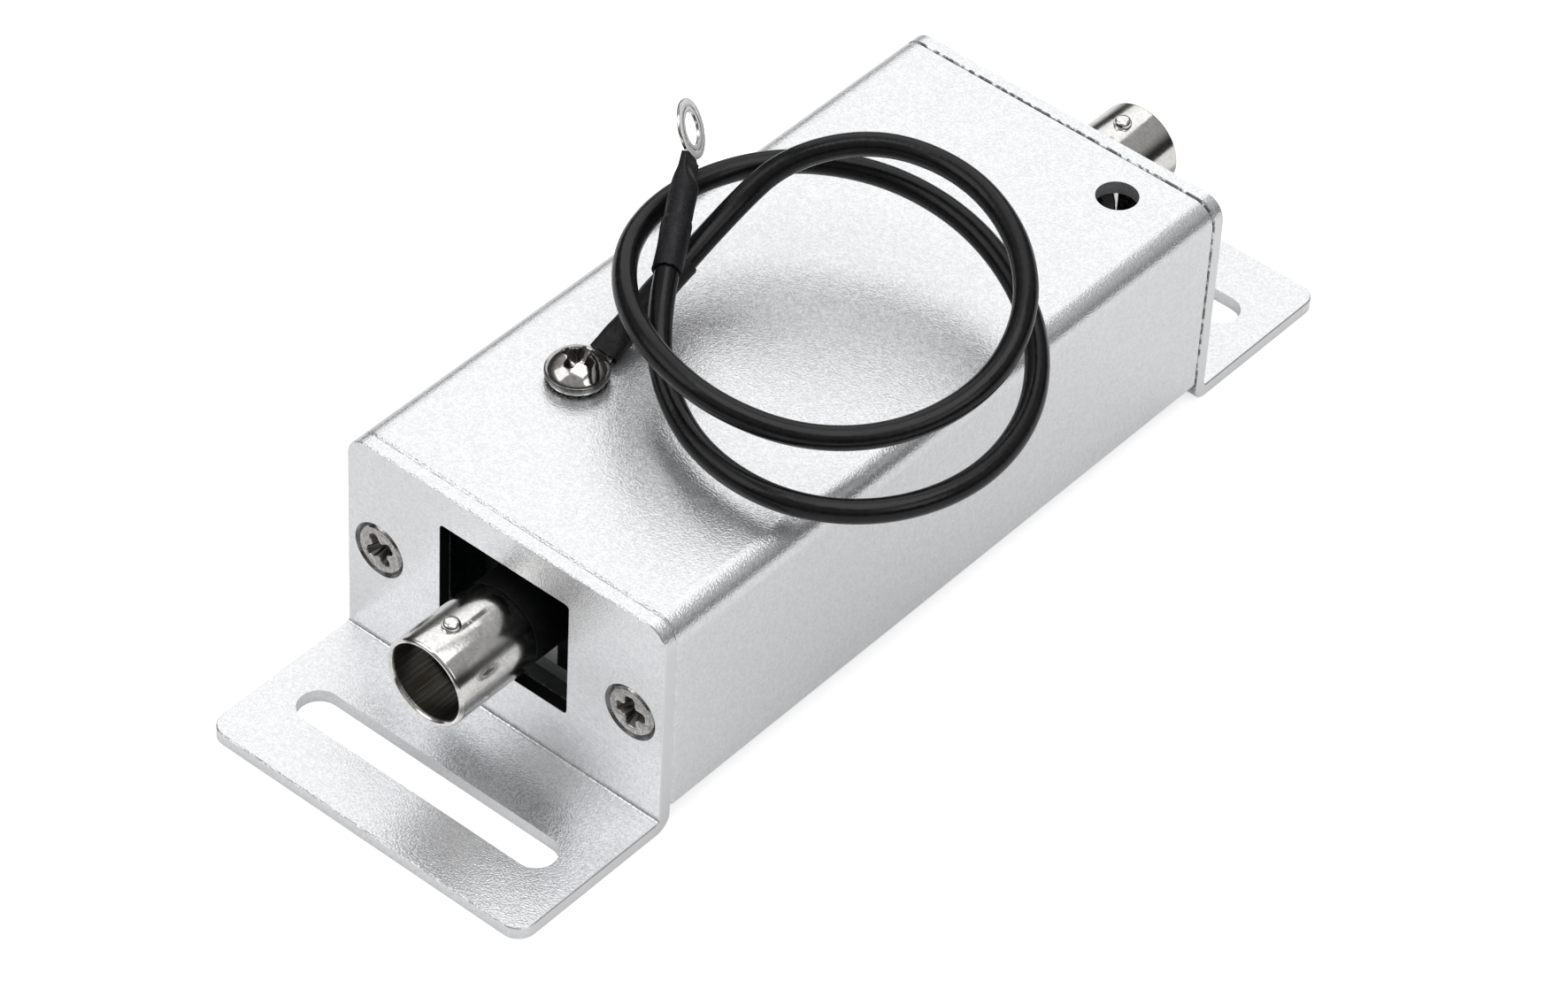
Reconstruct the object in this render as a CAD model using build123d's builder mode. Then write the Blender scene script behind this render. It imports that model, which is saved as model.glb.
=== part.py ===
from build123d import *
from math import cos, pi, radians, sin, tan
import os

os.makedirs("parts", exist_ok=True)

# Millimetres. X runs across the box, Y from the front to the rear, Z up from the mounting feet.

# Aluminium box
WIDTH = 40.0
HEIGHT = 26.0
UNDERSIDE = 2.5
HOUSING_LENGTH = 80.5
WALL = 1.5
TOP_RADIUS = 2.5
BOTTOM_RADIUS = 0.4
SEAM_CHAMFER = 0.35

# End plates, each with its mounting foot
PLATE = 1.5
FOOT_REACH = 19.4
BEND_RADIUS = 0.4
FOOT_CORNER = 2.0
WINDOW_WIDTH = 16.25
WINDOW_HEIGHT = 14.1
WINDOW_CORNER = 0.5
SLOT_LENGTH = 32.2
SLOT_WIDTH = 4.4
SLOT_FROM_PLATE = 10.5

# Countersunk screws through the end plates
SCREW_INSET = 4.1
SCREW_Z = 13.4
SCREW_RADIUS = 1.5
SCREW_HEAD_RADIUS = 2.8
SCREW_RIM = 0.3
SCREW_LENGTH = 8.0
COUNTERSINK_RADIUS = 3.1
PORT_WALL = 1.2

# Circuit board
BOARD_TOP = 7.0
BOARD_THICKNESS = 1.6
BOARD_SETBACK = 4.9
BOARD_SHIFT = 1.0
REAR_JACK_SIDE = 0.3
REAR_JACK_STEP = 0.25
BOARD_SIDE_GAP = 0.2
GUIDE_DEPTH = 1.6
GUIDE_GAP = 0.2

# Coaxial jacks
AXIS_Z = 14.25
SHELL_RADIUS = 4.8
SHELL_BORE = 4.15
SHELL_REACH = 10.85
PLUG_DEPTH = 9.0
LUG_RADIUS = 0.95
LUG_HEIGHT = 0.75
LUG_FROM_RING = 3.7
INSULATOR_RADIUS = 3.2
INSULATOR_RECESS = 5.3
CONTACT_RADIUS = 1.1
CONTACT_BORE = 0.7
JACK_WIDTH = 14.5
JACK_HEIGHT = 14.3
JACK_DEPTH = 14.5
JACK_SETBACK = 5.0
NOSE_RADIUS = 5.3
NOSE_SETBACK = 0.3
GROUND_TAB = 5.0

# Ground screw on top and the hole at the rear
STUD_INSET = 10.7
STUD_Y = -21.35
STUD_RADIUS = 1.5
STUD_HEAD_RADIUS = 3.05
STUD_HEAD_HEIGHT = 1.7
STUD_LENGTH = 7.5
WASHER_RADIUS = 3.2
WASHER = 0.65
TOOTH_WASHER = 0.4
NUT_FLATS = 5.5
NUT_HEIGHT = 2.4
STRAP = 0.4
STRAP_RUN = 7.5
REAR_HOLE_X = 11.6
REAR_HOLE_INSET = 5.2
REAR_HOLE_RADIUS = 2.2

# Ground lead
WIRE_RADIUS = 1.22
EYE_RADIUS = 3.0
EYE_HOLE = 1.65
EYE_THICKNESS = 0.35
NECK_WIDTH = 2.4
BARREL_RADIUS = 1.15
SLEEVE_RADIUS = 1.5
INNER_FLAT = (3.2, 1.3)
OUTER_FLAT = (2.9, 0.95)
SLEEVE_TAPER = 4.0
LUG_TILT = 20.5
INNER_SLEEVE_LENGTH = 12.2
OUTER_SLEEVE_LENGTH = 13.05

HALF = HOUSING_LENGTH / 2
SCREW_X = WIDTH / 2 - SCREW_INSET
STUD_X = STUD_INSET - WIDTH / 2
FACE = -(HALF + PLATE)
FOOT_TIP = FACE - FOOT_REACH
BOARD_BOTTOM = BOARD_TOP - BOARD_THICKNESS
JACK_FACE = FACE + JACK_SETBACK
RING = FACE - SHELL_REACH
JACK_CENTRE_Y = JACK_FACE + JACK_DEPTH / 2
BOARD_LENGTH = 2 * (BOARD_SHIFT - FACE - BOARD_SETBACK)
HALF_TURN = Location((REAR_JACK_SIDE, 2 * BOARD_SHIFT + REAR_JACK_STEP, 0), (0, 0, 180))

# Housing: one aluminium extrusion, closed all round, cut to length. Guides for the board and two
# open screw ports run the whole length inside; the ends are deburred, which shows as a fine seam.
with BuildPart() as housing:
    with BuildSketch(Plane.XZ.offset(-HALF)) as outline:
        with Locations((0, UNDERSIDE)):
            Rectangle(WIDTH, HEIGHT - UNDERSIDE, align=(Align.CENTER, Align.MIN))
        fillet(outline.vertices().group_by(Axis.Y)[-1], TOP_RADIUS)
        fillet(outline.vertices().group_by(Axis.Y)[0], BOTTOM_RADIUS)
    extrude(amount=HOUSING_LENGTH)
    ends = housing.faces().filter_by(Axis.Y)
    chamfer(ends.edges(), SEAM_CHAMFER)
    with BuildSketch(Plane.XZ.offset(-HALF)) as cavity:
        with Locations((0, UNDERSIDE + WALL)):
            Rectangle(WIDTH - 2 * WALL, HEIGHT - UNDERSIDE - 2 * WALL, align=(Align.CENTER, Align.MIN))
        fillet(cavity.vertices().group_by(Axis.Y)[-1], TOP_RADIUS - WALL)
        for side in (-1, 1):
            wall_x = side * (WIDTH / 2 - WALL)
            edge = Align.MAX if side > 0 else Align.MIN
            with Locations((wall_x, UNDERSIDE + WALL)):
                Rectangle(GUIDE_DEPTH, BOARD_BOTTOM - UNDERSIDE - WALL, align=(edge, Align.MIN),
                          mode=Mode.SUBTRACT)
            with Locations((wall_x, BOARD_TOP + GUIDE_GAP)):
                Rectangle(GUIDE_DEPTH, 1.2, align=(edge, Align.MIN), mode=Mode.SUBTRACT)
            with Locations((side * SCREW_X, SCREW_Z)):
                Circle(SCREW_RADIUS + PORT_WALL, mode=Mode.SUBTRACT)
    extrude(amount=HOUSING_LENGTH, mode=Mode.SUBTRACT)
    with BuildSketch(Plane.XZ.offset(-HALF)) as ports:
        with Locations((-SCREW_X, SCREW_Z), (SCREW_X, SCREW_Z)):
            Circle(SCREW_RADIUS)
        for side in (-1, 1):
            inward = Align.MAX if side > 0 else Align.MIN
            with Locations((side * SCREW_X, SCREW_Z)):
                Rectangle(SCREW_RADIUS + PORT_WALL + 0.5, 1.2, align=(inward, Align.CENTER))
    extrude(amount=HOUSING_LENGTH, mode=Mode.SUBTRACT)
    with BuildSketch(Plane.XY.offset(HEIGHT)) as top_holes:
        with Locations((STUD_X, STUD_Y)):
            Circle(STUD_RADIUS)
        with Locations((REAR_HOLE_X, HALF - REAR_HOLE_INSET)):
            Circle(REAR_HOLE_RADIUS)
    extrude(amount=-WALL, mode=Mode.SUBTRACT)
housing.part.label = "housing"
export_step(housing.part, "parts/housing.step")

# Front plate: blanked aluminium sheet bent outwards into a foot, with the jack window, two
# countersunk holes and one long mounting slot.
with BuildPart() as front_plate:
    with BuildSketch(Plane.YZ.offset(-WIDTH / 2)) as bend:
        with BuildLine():
            Polyline((FOOT_TIP, 0), (-HALF, 0), (-HALF, HEIGHT), (FACE, HEIGHT), (FACE, PLATE),
                     (FOOT_TIP, PLATE), close=True)
        make_face()
        fillet(bend.vertices().sort_by_distance((-HALF, 0))[0], BEND_RADIUS + PLATE)
        fillet(bend.vertices().sort_by_distance((FACE, PLATE))[0], BEND_RADIUS)
    extrude(amount=WIDTH)
    fillet(front_plate.edges().filter_by(Axis.Y).group_by(Axis.Z)[-1], TOP_RADIUS)
    fillet(front_plate.edges().filter_by(Axis.Z).group_by(Axis.Y)[0], FOOT_CORNER)
    chamfer(front_plate.faces().sort_by(Axis.Y)[0].edges() + front_plate.faces().filter_by(
        Axis.Z).group_by(Axis.Z)[1].edges().filter_by(Axis.Y), 0.12)
    with BuildSketch(Plane.XZ.offset(-FACE)):
        with Locations((0, AXIS_Z + 0.55)):
            RectangleRounded(WINDOW_WIDTH, WINDOW_HEIGHT, WINDOW_CORNER)
    extrude(amount=-PLATE, mode=Mode.SUBTRACT)
    seats = [Plane((x, FACE, SCREW_Z), x_dir=(1, 0, 0), z_dir=(0, -1, 0)) for x in (-SCREW_X, SCREW_X)]
    with Locations(*seats):
        CounterSinkHole(SCREW_RADIUS + 0.1, COUNTERSINK_RADIUS, depth=PLATE, counter_sink_angle=90)
    with BuildSketch(Plane.XY):
        with Locations((0, FACE - SLOT_FROM_PLATE)):
            SlotOverall(SLOT_LENGTH, SLOT_WIDTH)
    extrude(amount=PLATE, mode=Mode.SUBTRACT)
front_plate.part.label = "front_plate"
export_step(front_plate.part, "parts/front_plate.step")

# Rear plate: the same pressing, turned round.
with BuildPart() as rear_plate:
    add(front_plate.part, rotation=(0, 0, 180))
rear_plate.part.label = "rear_plate"
export_step(rear_plate.part, "parts/rear_plate.step")

# Front right plate screw: nickel-plated M3 countersunk screw with a cross recess. Its cone sits in
# the plate with its bevelled rim a little below the face, its shank cuts its thread in the port.
HEAD_DROP = COUNTERSINK_RADIUS - SCREW_HEAD_RADIUS
with BuildPart() as plate_screw_front_right:
    with BuildSketch(Plane.YZ.offset(SCREW_X)) as screw_half:
        with BuildLine():
            Polyline((FACE, SCREW_Z), (FACE, SCREW_Z + SCREW_HEAD_RADIUS - SCREW_RIM),
                     (FACE + HEAD_DROP, SCREW_Z + SCREW_HEAD_RADIUS),
                     (FACE + PLATE, SCREW_Z + COUNTERSINK_RADIUS - PLATE),
                     (FACE + PLATE, SCREW_Z + SCREW_RADIUS),
                     (FACE + HEAD_DROP + SCREW_LENGTH - 0.5, SCREW_Z + SCREW_RADIUS),
                     (FACE + HEAD_DROP + SCREW_LENGTH, SCREW_Z + SCREW_RADIUS - 0.5),
                     (FACE + HEAD_DROP + SCREW_LENGTH, SCREW_Z), close=True)
        make_face()
    revolve(axis=Axis((SCREW_X, 0, SCREW_Z), (0, 1, 0)))
    with BuildSketch(Plane((SCREW_X, FACE, SCREW_Z), x_dir=(1, 0, 0), z_dir=(0, -1, 0))) as cross:
        Rectangle(3.4, 1.0)
        Rectangle(1.0, 3.4)
        fillet(cross.vertices().filter_by(lambda v: v.X ** 2 + v.Y ** 2 < 1), 0.4)
    extrude(amount=-1.3, taper=18, mode=Mode.SUBTRACT)
plate_screw_front_right.part.label = "plate_screw_front_right"
export_step(plate_screw_front_right.part, "parts/plate_screw_front_right.step")

# Front left plate screw: the same screw, driven to another angle.
with BuildPart() as plate_screw_front_left:
    with Locations((-2 * SCREW_X, 0, 0)):
        add(plate_screw_front_right.part.rotate(Axis((SCREW_X, 0, SCREW_Z), (0, 1, 0)), 33))
plate_screw_front_left.part.label = "plate_screw_front_left"
export_step(plate_screw_front_left.part, "parts/plate_screw_front_left.step")

# Rear right and rear left plate screws.
with BuildPart() as plate_screw_rear_right:
    add(plate_screw_front_left.part, rotation=(0, 0, 180))
plate_screw_rear_right.part.label = "plate_screw_rear_right"
export_step(plate_screw_rear_right.part, "parts/plate_screw_rear_right.step")

with BuildPart() as plate_screw_rear_left:
    add(plate_screw_front_right.part, rotation=(0, 0, 180))
plate_screw_rear_left.part.label = "plate_screw_rear_left"
export_step(plate_screw_rear_left.part, "parts/plate_screw_rear_left.step")

# Front jack contact: gilt socket, turned from rod, with its tail bent down through the board.
TAIL_Y = JACK_CENTRE_Y
TAIL_END = BOARD_BOTTOM - 0.6
SHELL_BACK = JACK_FACE + 4.0
with BuildPart() as front_jack_contact:
    with BuildSketch(Plane.XZ.offset(-(RING + INSULATOR_RECESS))):
        with Locations((0, AXIS_Z)):
            Circle(CONTACT_RADIUS)
    extrude(amount=-(SHELL_BACK + 1 - RING - INSULATOR_RECESS))
    with BuildLine() as tail:
        FilletPolyline((0, SHELL_BACK, AXIS_Z), (0, TAIL_Y, AXIS_Z), (0, TAIL_Y, TAIL_END), radius=1.0)
    with BuildSketch(Plane.XZ.offset(-SHELL_BACK)):
        with Locations((0, AXIS_Z)):
            Circle(0.5)
    sweep(path=tail.wire())
    with BuildSketch(Plane.XZ.offset(-(RING + INSULATOR_RECESS))):
        with Locations((0, AXIS_Z)):
            Circle(CONTACT_BORE)
    extrude(amount=-5.5, mode=Mode.SUBTRACT)
front_jack_contact.part.label = "front_jack_contact"
export_step(front_jack_contact.part, "parts/front_jack_contact.step")

# Front jack insulator: white fluoropolymer bush, turned, holding the contact in the shell.
with BuildPart() as front_jack_insulator:
    with BuildSketch(Plane.XZ.offset(-(RING + INSULATOR_RECESS))):
        with Locations((0, AXIS_Z)):
            Circle(INSULATOR_RADIUS)
            Circle(CONTACT_RADIUS, mode=Mode.SUBTRACT)
    extrude(amount=-(SHELL_BACK - RING - INSULATOR_RECESS))
front_jack_insulator.part.label = "front_jack_insulator"
export_step(front_jack_insulator.part, "parts/front_jack_insulator.step")

# Front jack shell: nickel-plated bayonet barrel with two locking pins, pressed into the moulded
# body, and a flat ground tab that comes down to the board in front of it.
with BuildPart() as front_jack_shell:
    with BuildSketch(Plane.YZ) as shell_half:
        with BuildLine():
            Polyline((RING, AXIS_Z + SHELL_BORE + 0.15), (RING, AXIS_Z + SHELL_RADIUS - 0.25),
                     (RING + 0.25, AXIS_Z + SHELL_RADIUS), (SHELL_BACK, AXIS_Z + SHELL_RADIUS),
                     (SHELL_BACK, AXIS_Z + INSULATOR_RADIUS), (RING + PLUG_DEPTH, AXIS_Z + INSULATOR_RADIUS),
                     (RING + PLUG_DEPTH, AXIS_Z + SHELL_BORE), (RING + 0.3, AXIS_Z + SHELL_BORE), close=True)
        make_face()
    revolve(axis=Axis((0, 0, AXIS_Z), (0, 1, 0)))
    with Locations((0, RING + LUG_FROM_RING, AXIS_Z)):
        Cylinder(LUG_RADIUS, 2 * (SHELL_RADIUS + LUG_HEIGHT))
    pin_rims = front_jack_shell.edges().filter_by(GeomType.CIRCLE).filter_by(
        lambda e: abs(e.radius - LUG_RADIUS) < 0.01)
    fillet(pin_rims.group_by(Axis.Z)[0] + pin_rims.group_by(Axis.Z)[-1], 0.3)
    with BuildSketch(Plane.XZ.offset(-RING - 0.3)):
        with Locations((0, AXIS_Z)):
            Circle(SHELL_BORE)
            Circle(INSULATOR_RADIUS, mode=Mode.SUBTRACT)
    extrude(amount=-(PLUG_DEPTH - 0.3), mode=Mode.SUBTRACT)
    with BuildSketch(Plane.XZ.offset(-RING)):
        with Locations((0, AXIS_Z)):
            Circle(INSULATOR_RADIUS)
    extrude(amount=-(SHELL_BACK - RING), mode=Mode.SUBTRACT)
    with BuildSketch(Plane.XZ.offset(-JACK_FACE)):
        with Locations((0, BOARD_TOP)):
            Rectangle(GROUND_TAB, AXIS_Z - SHELL_RADIUS + 0.9 - BOARD_TOP, align=(Align.CENTER, Align.MIN))
        with Locations((0, AXIS_Z)):
            Circle(SHELL_RADIUS - 0.3, mode=Mode.SUBTRACT)
    extrude(amount=-0.5)
front_jack_shell.part.label = "front_jack_shell"
export_step(front_jack_shell.part, "parts/front_jack_shell.step")

# Front jack body: black moulded block that stands on the board, with a round nose around the
# shell and two pegs that locate it in the board.
with BuildPart() as front_jack_body:
    with BuildSketch(Plane.XY.offset(BOARD_TOP)) as block:
        with Locations((0, JACK_CENTRE_Y)):
            RectangleRounded(JACK_WIDTH, JACK_DEPTH, 0.5)
    extrude(amount=JACK_HEIGHT)
    chamfer(front_jack_body.faces().sort_by(Axis.Z)[-1].edges(), 0.3)
    with BuildSketch(Plane.XZ.offset(-(FACE + NOSE_SETBACK))):
        with Locations((0, AXIS_Z)):
            Circle(NOSE_RADIUS)
    extrude(amount=-(JACK_SETBACK - NOSE_SETBACK))
    with BuildSketch(Plane.XY.offset(BOARD_TOP)):
        with Locations((-5, JACK_CENTRE_Y + 4), (5, JACK_CENTRE_Y + 4)):
            Circle(1.0)
    extrude(amount=-BOARD_THICKNESS - 0.4)
    with BuildSketch(Plane.XZ.offset(-(FACE + NOSE_SETBACK))):
        with Locations((0, AXIS_Z)):
            Circle(SHELL_RADIUS)
    extrude(amount=-(SHELL_BACK - FACE - NOSE_SETBACK), mode=Mode.SUBTRACT)
    with BuildSketch(Plane.XZ.offset(-JACK_FACE)):
        with Locations((0, BOARD_TOP)):
            Rectangle(GROUND_TAB, AXIS_Z - SHELL_RADIUS + 0.9 - BOARD_TOP, align=(Align.CENTER, Align.MIN))
    extrude(amount=-0.5, mode=Mode.SUBTRACT)
    add(front_jack_contact.part, mode=Mode.SUBTRACT)
front_jack_body.part.label = "front_jack_body"
export_step(front_jack_body.part, "parts/front_jack_body.step")

# Rear jack: the same four pieces, turned round and seated a little further out and to the side.
with BuildPart() as rear_jack_contact:
    add(front_jack_contact.part.moved(HALF_TURN))
rear_jack_contact.part.label = "rear_jack_contact"
export_step(rear_jack_contact.part, "parts/rear_jack_contact.step")

with BuildPart() as rear_jack_insulator:
    add(front_jack_insulator.part.moved(HALF_TURN))
rear_jack_insulator.part.label = "rear_jack_insulator"
export_step(rear_jack_insulator.part, "parts/rear_jack_insulator.step")

with BuildPart() as rear_jack_shell:
    add(front_jack_shell.part.moved(HALF_TURN))
rear_jack_shell.part.label = "rear_jack_shell"
export_step(rear_jack_shell.part, "parts/rear_jack_shell.step")

with BuildPart() as rear_jack_body:
    add(front_jack_body.part.moved(HALF_TURN))
rear_jack_body.part.label = "rear_jack_body"
export_step(rear_jack_body.part, "parts/rear_jack_body.step")

# Gas discharge tube: ceramic ring between two metal caps, on bent leads across the board.
TUBE_Y = -7.0
TUBE_RADIUS = 4.0
TUBE_Z = BOARD_TOP + TUBE_RADIUS + 0.3
LEAD = 0.4
TUBE_PITCH = 13.0
DIODE_PITCH = 11.0
with BuildPart() as gas_discharge_tube:
    with BuildSketch(Plane.YZ.offset(-3.0)):
        with Locations((TUBE_Y, TUBE_Z)):
            Circle(TUBE_RADIUS - 0.25)
    extrude(amount=6.0)
    for x in (-3.0, 1.8):
        with BuildSketch(Plane.YZ.offset(x)):
            with Locations((TUBE_Y, TUBE_Z)):
                Circle(TUBE_RADIUS)
        extrude(amount=1.2)
    for side in (-1, 1):
        with BuildLine() as lead:
            FilletPolyline((side * 2.8, TUBE_Y, TUBE_Z), (side * TUBE_PITCH / 2, TUBE_Y, TUBE_Z),
                           (side * TUBE_PITCH / 2, TUBE_Y, BOARD_BOTTOM - 0.6), radius=1.0)
        with BuildSketch(Plane((side * 2.8, TUBE_Y, TUBE_Z), x_dir=(0, 1, 0), z_dir=(side, 0, 0))):
            Circle(LEAD)
        sweep(path=lead.wire())
gas_discharge_tube.part.label = "gas_discharge_tube"
export_step(gas_discharge_tube.part, "parts/gas_discharge_tube.step")

# Surge diode 1: black moulded barrel on bent leads.
DIODE_RADIUS = 1.8
DIODE_LENGTH = 5.2
DIODE_Z = BOARD_TOP + DIODE_RADIUS + 0.25
DIODE_1_Y = 1.5
with BuildPart() as surge_diode_1:
    with BuildSketch(Plane.YZ.offset(-DIODE_LENGTH / 2)):
        with Locations((DIODE_1_Y, DIODE_Z)):
            Circle(DIODE_RADIUS)
    extrude(amount=DIODE_LENGTH)
    fillet(surge_diode_1.edges(), 0.35)
    for side in (-1, 1):
        with BuildLine() as lead:
            FilletPolyline((side * 2.4, DIODE_1_Y, DIODE_Z), (side * DIODE_PITCH / 2, DIODE_1_Y, DIODE_Z),
                           (side * DIODE_PITCH / 2, DIODE_1_Y, BOARD_BOTTOM - 0.6), radius=1.0)
        with BuildSketch(Plane((side * 2.4, DIODE_1_Y, DIODE_Z), x_dir=(0, 1, 0), z_dir=(side, 0, 0))):
            Circle(LEAD)
        sweep(path=lead.wire())
surge_diode_1.part.label = "surge_diode_1"
export_step(surge_diode_1.part, "parts/surge_diode_1.step")

# Surge diode 2: the same diode, further back.
DIODE_SPACING = 6.0
with BuildPart() as surge_diode_2:
    with Locations((0, DIODE_SPACING, 0)):
        add(surge_diode_1.part)
surge_diode_2.part.label = "surge_diode_2"
export_step(surge_diode_2.part, "parts/surge_diode_2.step")

# Series resistor 1: lacquered barrel with thicker end caps, between the front jack and the tube.
RESISTOR_RADIUS = 1.4
RESISTOR_LENGTH = 6.6
RESISTOR_LEAD = 0.3
RESISTOR_Z = BOARD_TOP + RESISTOR_RADIUS + 0.25
RESISTOR_1_Y = -15.5
with BuildPart() as series_resistor_1:
    with BuildSketch(Plane.YZ.offset(-RESISTOR_LENGTH / 2)):
        with Locations((RESISTOR_1_Y, RESISTOR_Z)):
            Circle(RESISTOR_RADIUS - 0.2)
    extrude(amount=RESISTOR_LENGTH)
    for x in (-RESISTOR_LENGTH / 2, RESISTOR_LENGTH / 2 - 1.4):
        with BuildSketch(Plane.YZ.offset(x)):
            with Locations((RESISTOR_1_Y, RESISTOR_Z)):
                Circle(RESISTOR_RADIUS)
        extrude(amount=1.4)
    fillet(series_resistor_1.edges().filter_by(GeomType.CIRCLE).filter_by(
        lambda e: abs(e.radius - RESISTOR_RADIUS) < 0.01), 0.15)
    for side in (-1, 1):
        with BuildLine() as lead:
            FilletPolyline((side * 3.1, RESISTOR_1_Y, RESISTOR_Z),
                           (side * DIODE_PITCH / 2, RESISTOR_1_Y, RESISTOR_Z),
                           (side * DIODE_PITCH / 2, RESISTOR_1_Y, BOARD_BOTTOM - 0.6), radius=0.9)
        with BuildSketch(Plane((side * 3.1, RESISTOR_1_Y, RESISTOR_Z), x_dir=(0, 1, 0),
                               z_dir=(side, 0, 0))):
            Circle(RESISTOR_LEAD)
        sweep(path=lead.wire())
series_resistor_1.part.label = "series_resistor_1"
export_step(series_resistor_1.part, "parts/series_resistor_1.step")

# Series resistor 2: the same resistor, in front of the rear jack.
with BuildPart() as series_resistor_2:
    with Locations((0, 2 * (BOARD_SHIFT - RESISTOR_1_Y), 0)):
        add(series_resistor_1.part)
series_resistor_2.part.label = "series_resistor_2"
export_step(series_resistor_2.part, "parts/series_resistor_2.step")

# Ground screw: nickel-plated M3 pan-head screw with a cross recess, through the top wall.
STACK = HEIGHT + TOOTH_WASHER + EYE_THICKNESS + WASHER
with BuildPart() as ground_screw:
    with BuildSketch(Plane.XZ.offset(-STUD_Y)) as stud_half:
        with BuildLine():
            Line((STUD_X, STACK + STUD_HEAD_HEIGHT), (STUD_X, STACK - STUD_LENGTH))
            Line((STUD_X, STACK - STUD_LENGTH), (STUD_X + STUD_RADIUS - 0.4, STACK - STUD_LENGTH))
            Line((STUD_X + STUD_RADIUS - 0.4, STACK - STUD_LENGTH),
                 (STUD_X + STUD_RADIUS, STACK - STUD_LENGTH + 0.4))
            Line((STUD_X + STUD_RADIUS, STACK - STUD_LENGTH + 0.4), (STUD_X + STUD_RADIUS, STACK))
            Line((STUD_X + STUD_RADIUS, STACK), (STUD_X + STUD_HEAD_RADIUS - 0.1, STACK))
            Line((STUD_X + STUD_HEAD_RADIUS - 0.1, STACK), (STUD_X + STUD_HEAD_RADIUS, STACK + 0.6))
            ThreePointArc((STUD_X + STUD_HEAD_RADIUS, STACK + 0.6),
                          (STUD_X + 0.76 * STUD_HEAD_RADIUS, STACK + 0.78 * STUD_HEAD_HEIGHT),
                          (STUD_X, STACK + STUD_HEAD_HEIGHT))
        make_face()
    revolve(axis=Axis((STUD_X, STUD_Y, 0), (0, 0, 1)))
    with BuildSketch(Plane((STUD_X, STUD_Y, STACK + STUD_HEAD_HEIGHT)).rotated((0, 0, 24))) as star:
        Rectangle(3.5, 0.95)
        Rectangle(0.95, 3.5)
        fillet(star.vertices().filter_by(lambda v: v.X ** 2 + v.Y ** 2 < 1), 0.4)
    extrude(amount=-1.5, taper=14, mode=Mode.SUBTRACT)
ground_screw.part.label = "ground_screw"
export_step(ground_screw.part, "parts/ground_screw.step")

# Flat washer: stamped, nickel-plated, between the screw head and the ring terminal.
with BuildPart() as flat_washer:
    with BuildSketch(Plane((STUD_X, STUD_Y, STACK - WASHER))):
        Circle(WASHER_RADIUS)
        Circle(STUD_RADIUS + 0.1, mode=Mode.SUBTRACT)
    extrude(amount=WASHER)
    fillet(flat_washer.edges().group_by(Axis.Z)[-1].sort_by(SortBy.RADIUS)[-1], 0.12)
flat_washer.part.label = "flat_washer"
export_step(flat_washer.part, "parts/flat_washer.step")

# Tooth washer: spring steel with twisted teeth round its rim, biting through the anodised skin.
with BuildPart() as tooth_washer:
    with BuildSketch(Plane((STUD_X, STUD_Y, HEIGHT))) as teeth:
        Circle(WASHER_RADIUS - 0.55)
        with PolarLocations(WASHER_RADIUS - 0.65, 18):
            Rectangle(1.1, 0.62)
        Circle(STUD_RADIUS + 0.1, mode=Mode.SUBTRACT)
    extrude(amount=TOOTH_WASHER)
tooth_washer.part.label = "tooth_washer"
export_step(tooth_washer.part, "parts/tooth_washer.step")

# Ground nut: M3 hexagon nut under the top wall, clamping the earth strap.
with BuildPart() as ground_nut:
    with BuildSketch(Plane((STUD_X, STUD_Y, HEIGHT - WALL - STRAP))):
        RegularPolygon(NUT_FLATS / 2, 6, major_radius=False, rotation=30)
        Circle(STUD_RADIUS, mode=Mode.SUBTRACT)
    extrude(amount=-NUT_HEIGHT)
ground_nut.part.label = "ground_nut"
export_step(ground_nut.part, "parts/ground_nut.step")

# Earth strap: tinned copper sheet from the ground screw down to the board.
STRAP_TOP = HEIGHT - WALL
STRAP_Y = STUD_Y + STRAP_RUN
with BuildPart() as earth_strap:
    with BuildSketch(Plane((STUD_X, STUD_Y, STRAP_TOP - STRAP))):
        Circle(3.0)
        with Locations((0, 3.0)):
            Rectangle(3.6, 3.0)
        Circle(STUD_RADIUS, mode=Mode.SUBTRACT)
    extrude(amount=STRAP)
    with BuildLine() as strap_path:
        FilletPolyline((STUD_X, STUD_Y + 4.4, STRAP_TOP - STRAP / 2),
                       (STUD_X, STRAP_Y, STRAP_TOP - STRAP / 2),
                       (STUD_X, STRAP_Y, BOARD_TOP + STRAP / 2),
                       (STUD_X, STRAP_Y + 3.5, BOARD_TOP + STRAP / 2), radius=0.8)
    with BuildSketch(Plane((STUD_X, STUD_Y + 4.4, STRAP_TOP - STRAP / 2), x_dir=(1, 0, 0),
                           z_dir=(0, 1, 0))):
        Rectangle(3.6, STRAP)
    sweep(path=strap_path.wire())
earth_strap.part.label = "earth_strap"
export_step(earth_strap.part, "parts/earth_strap.step")

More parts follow.
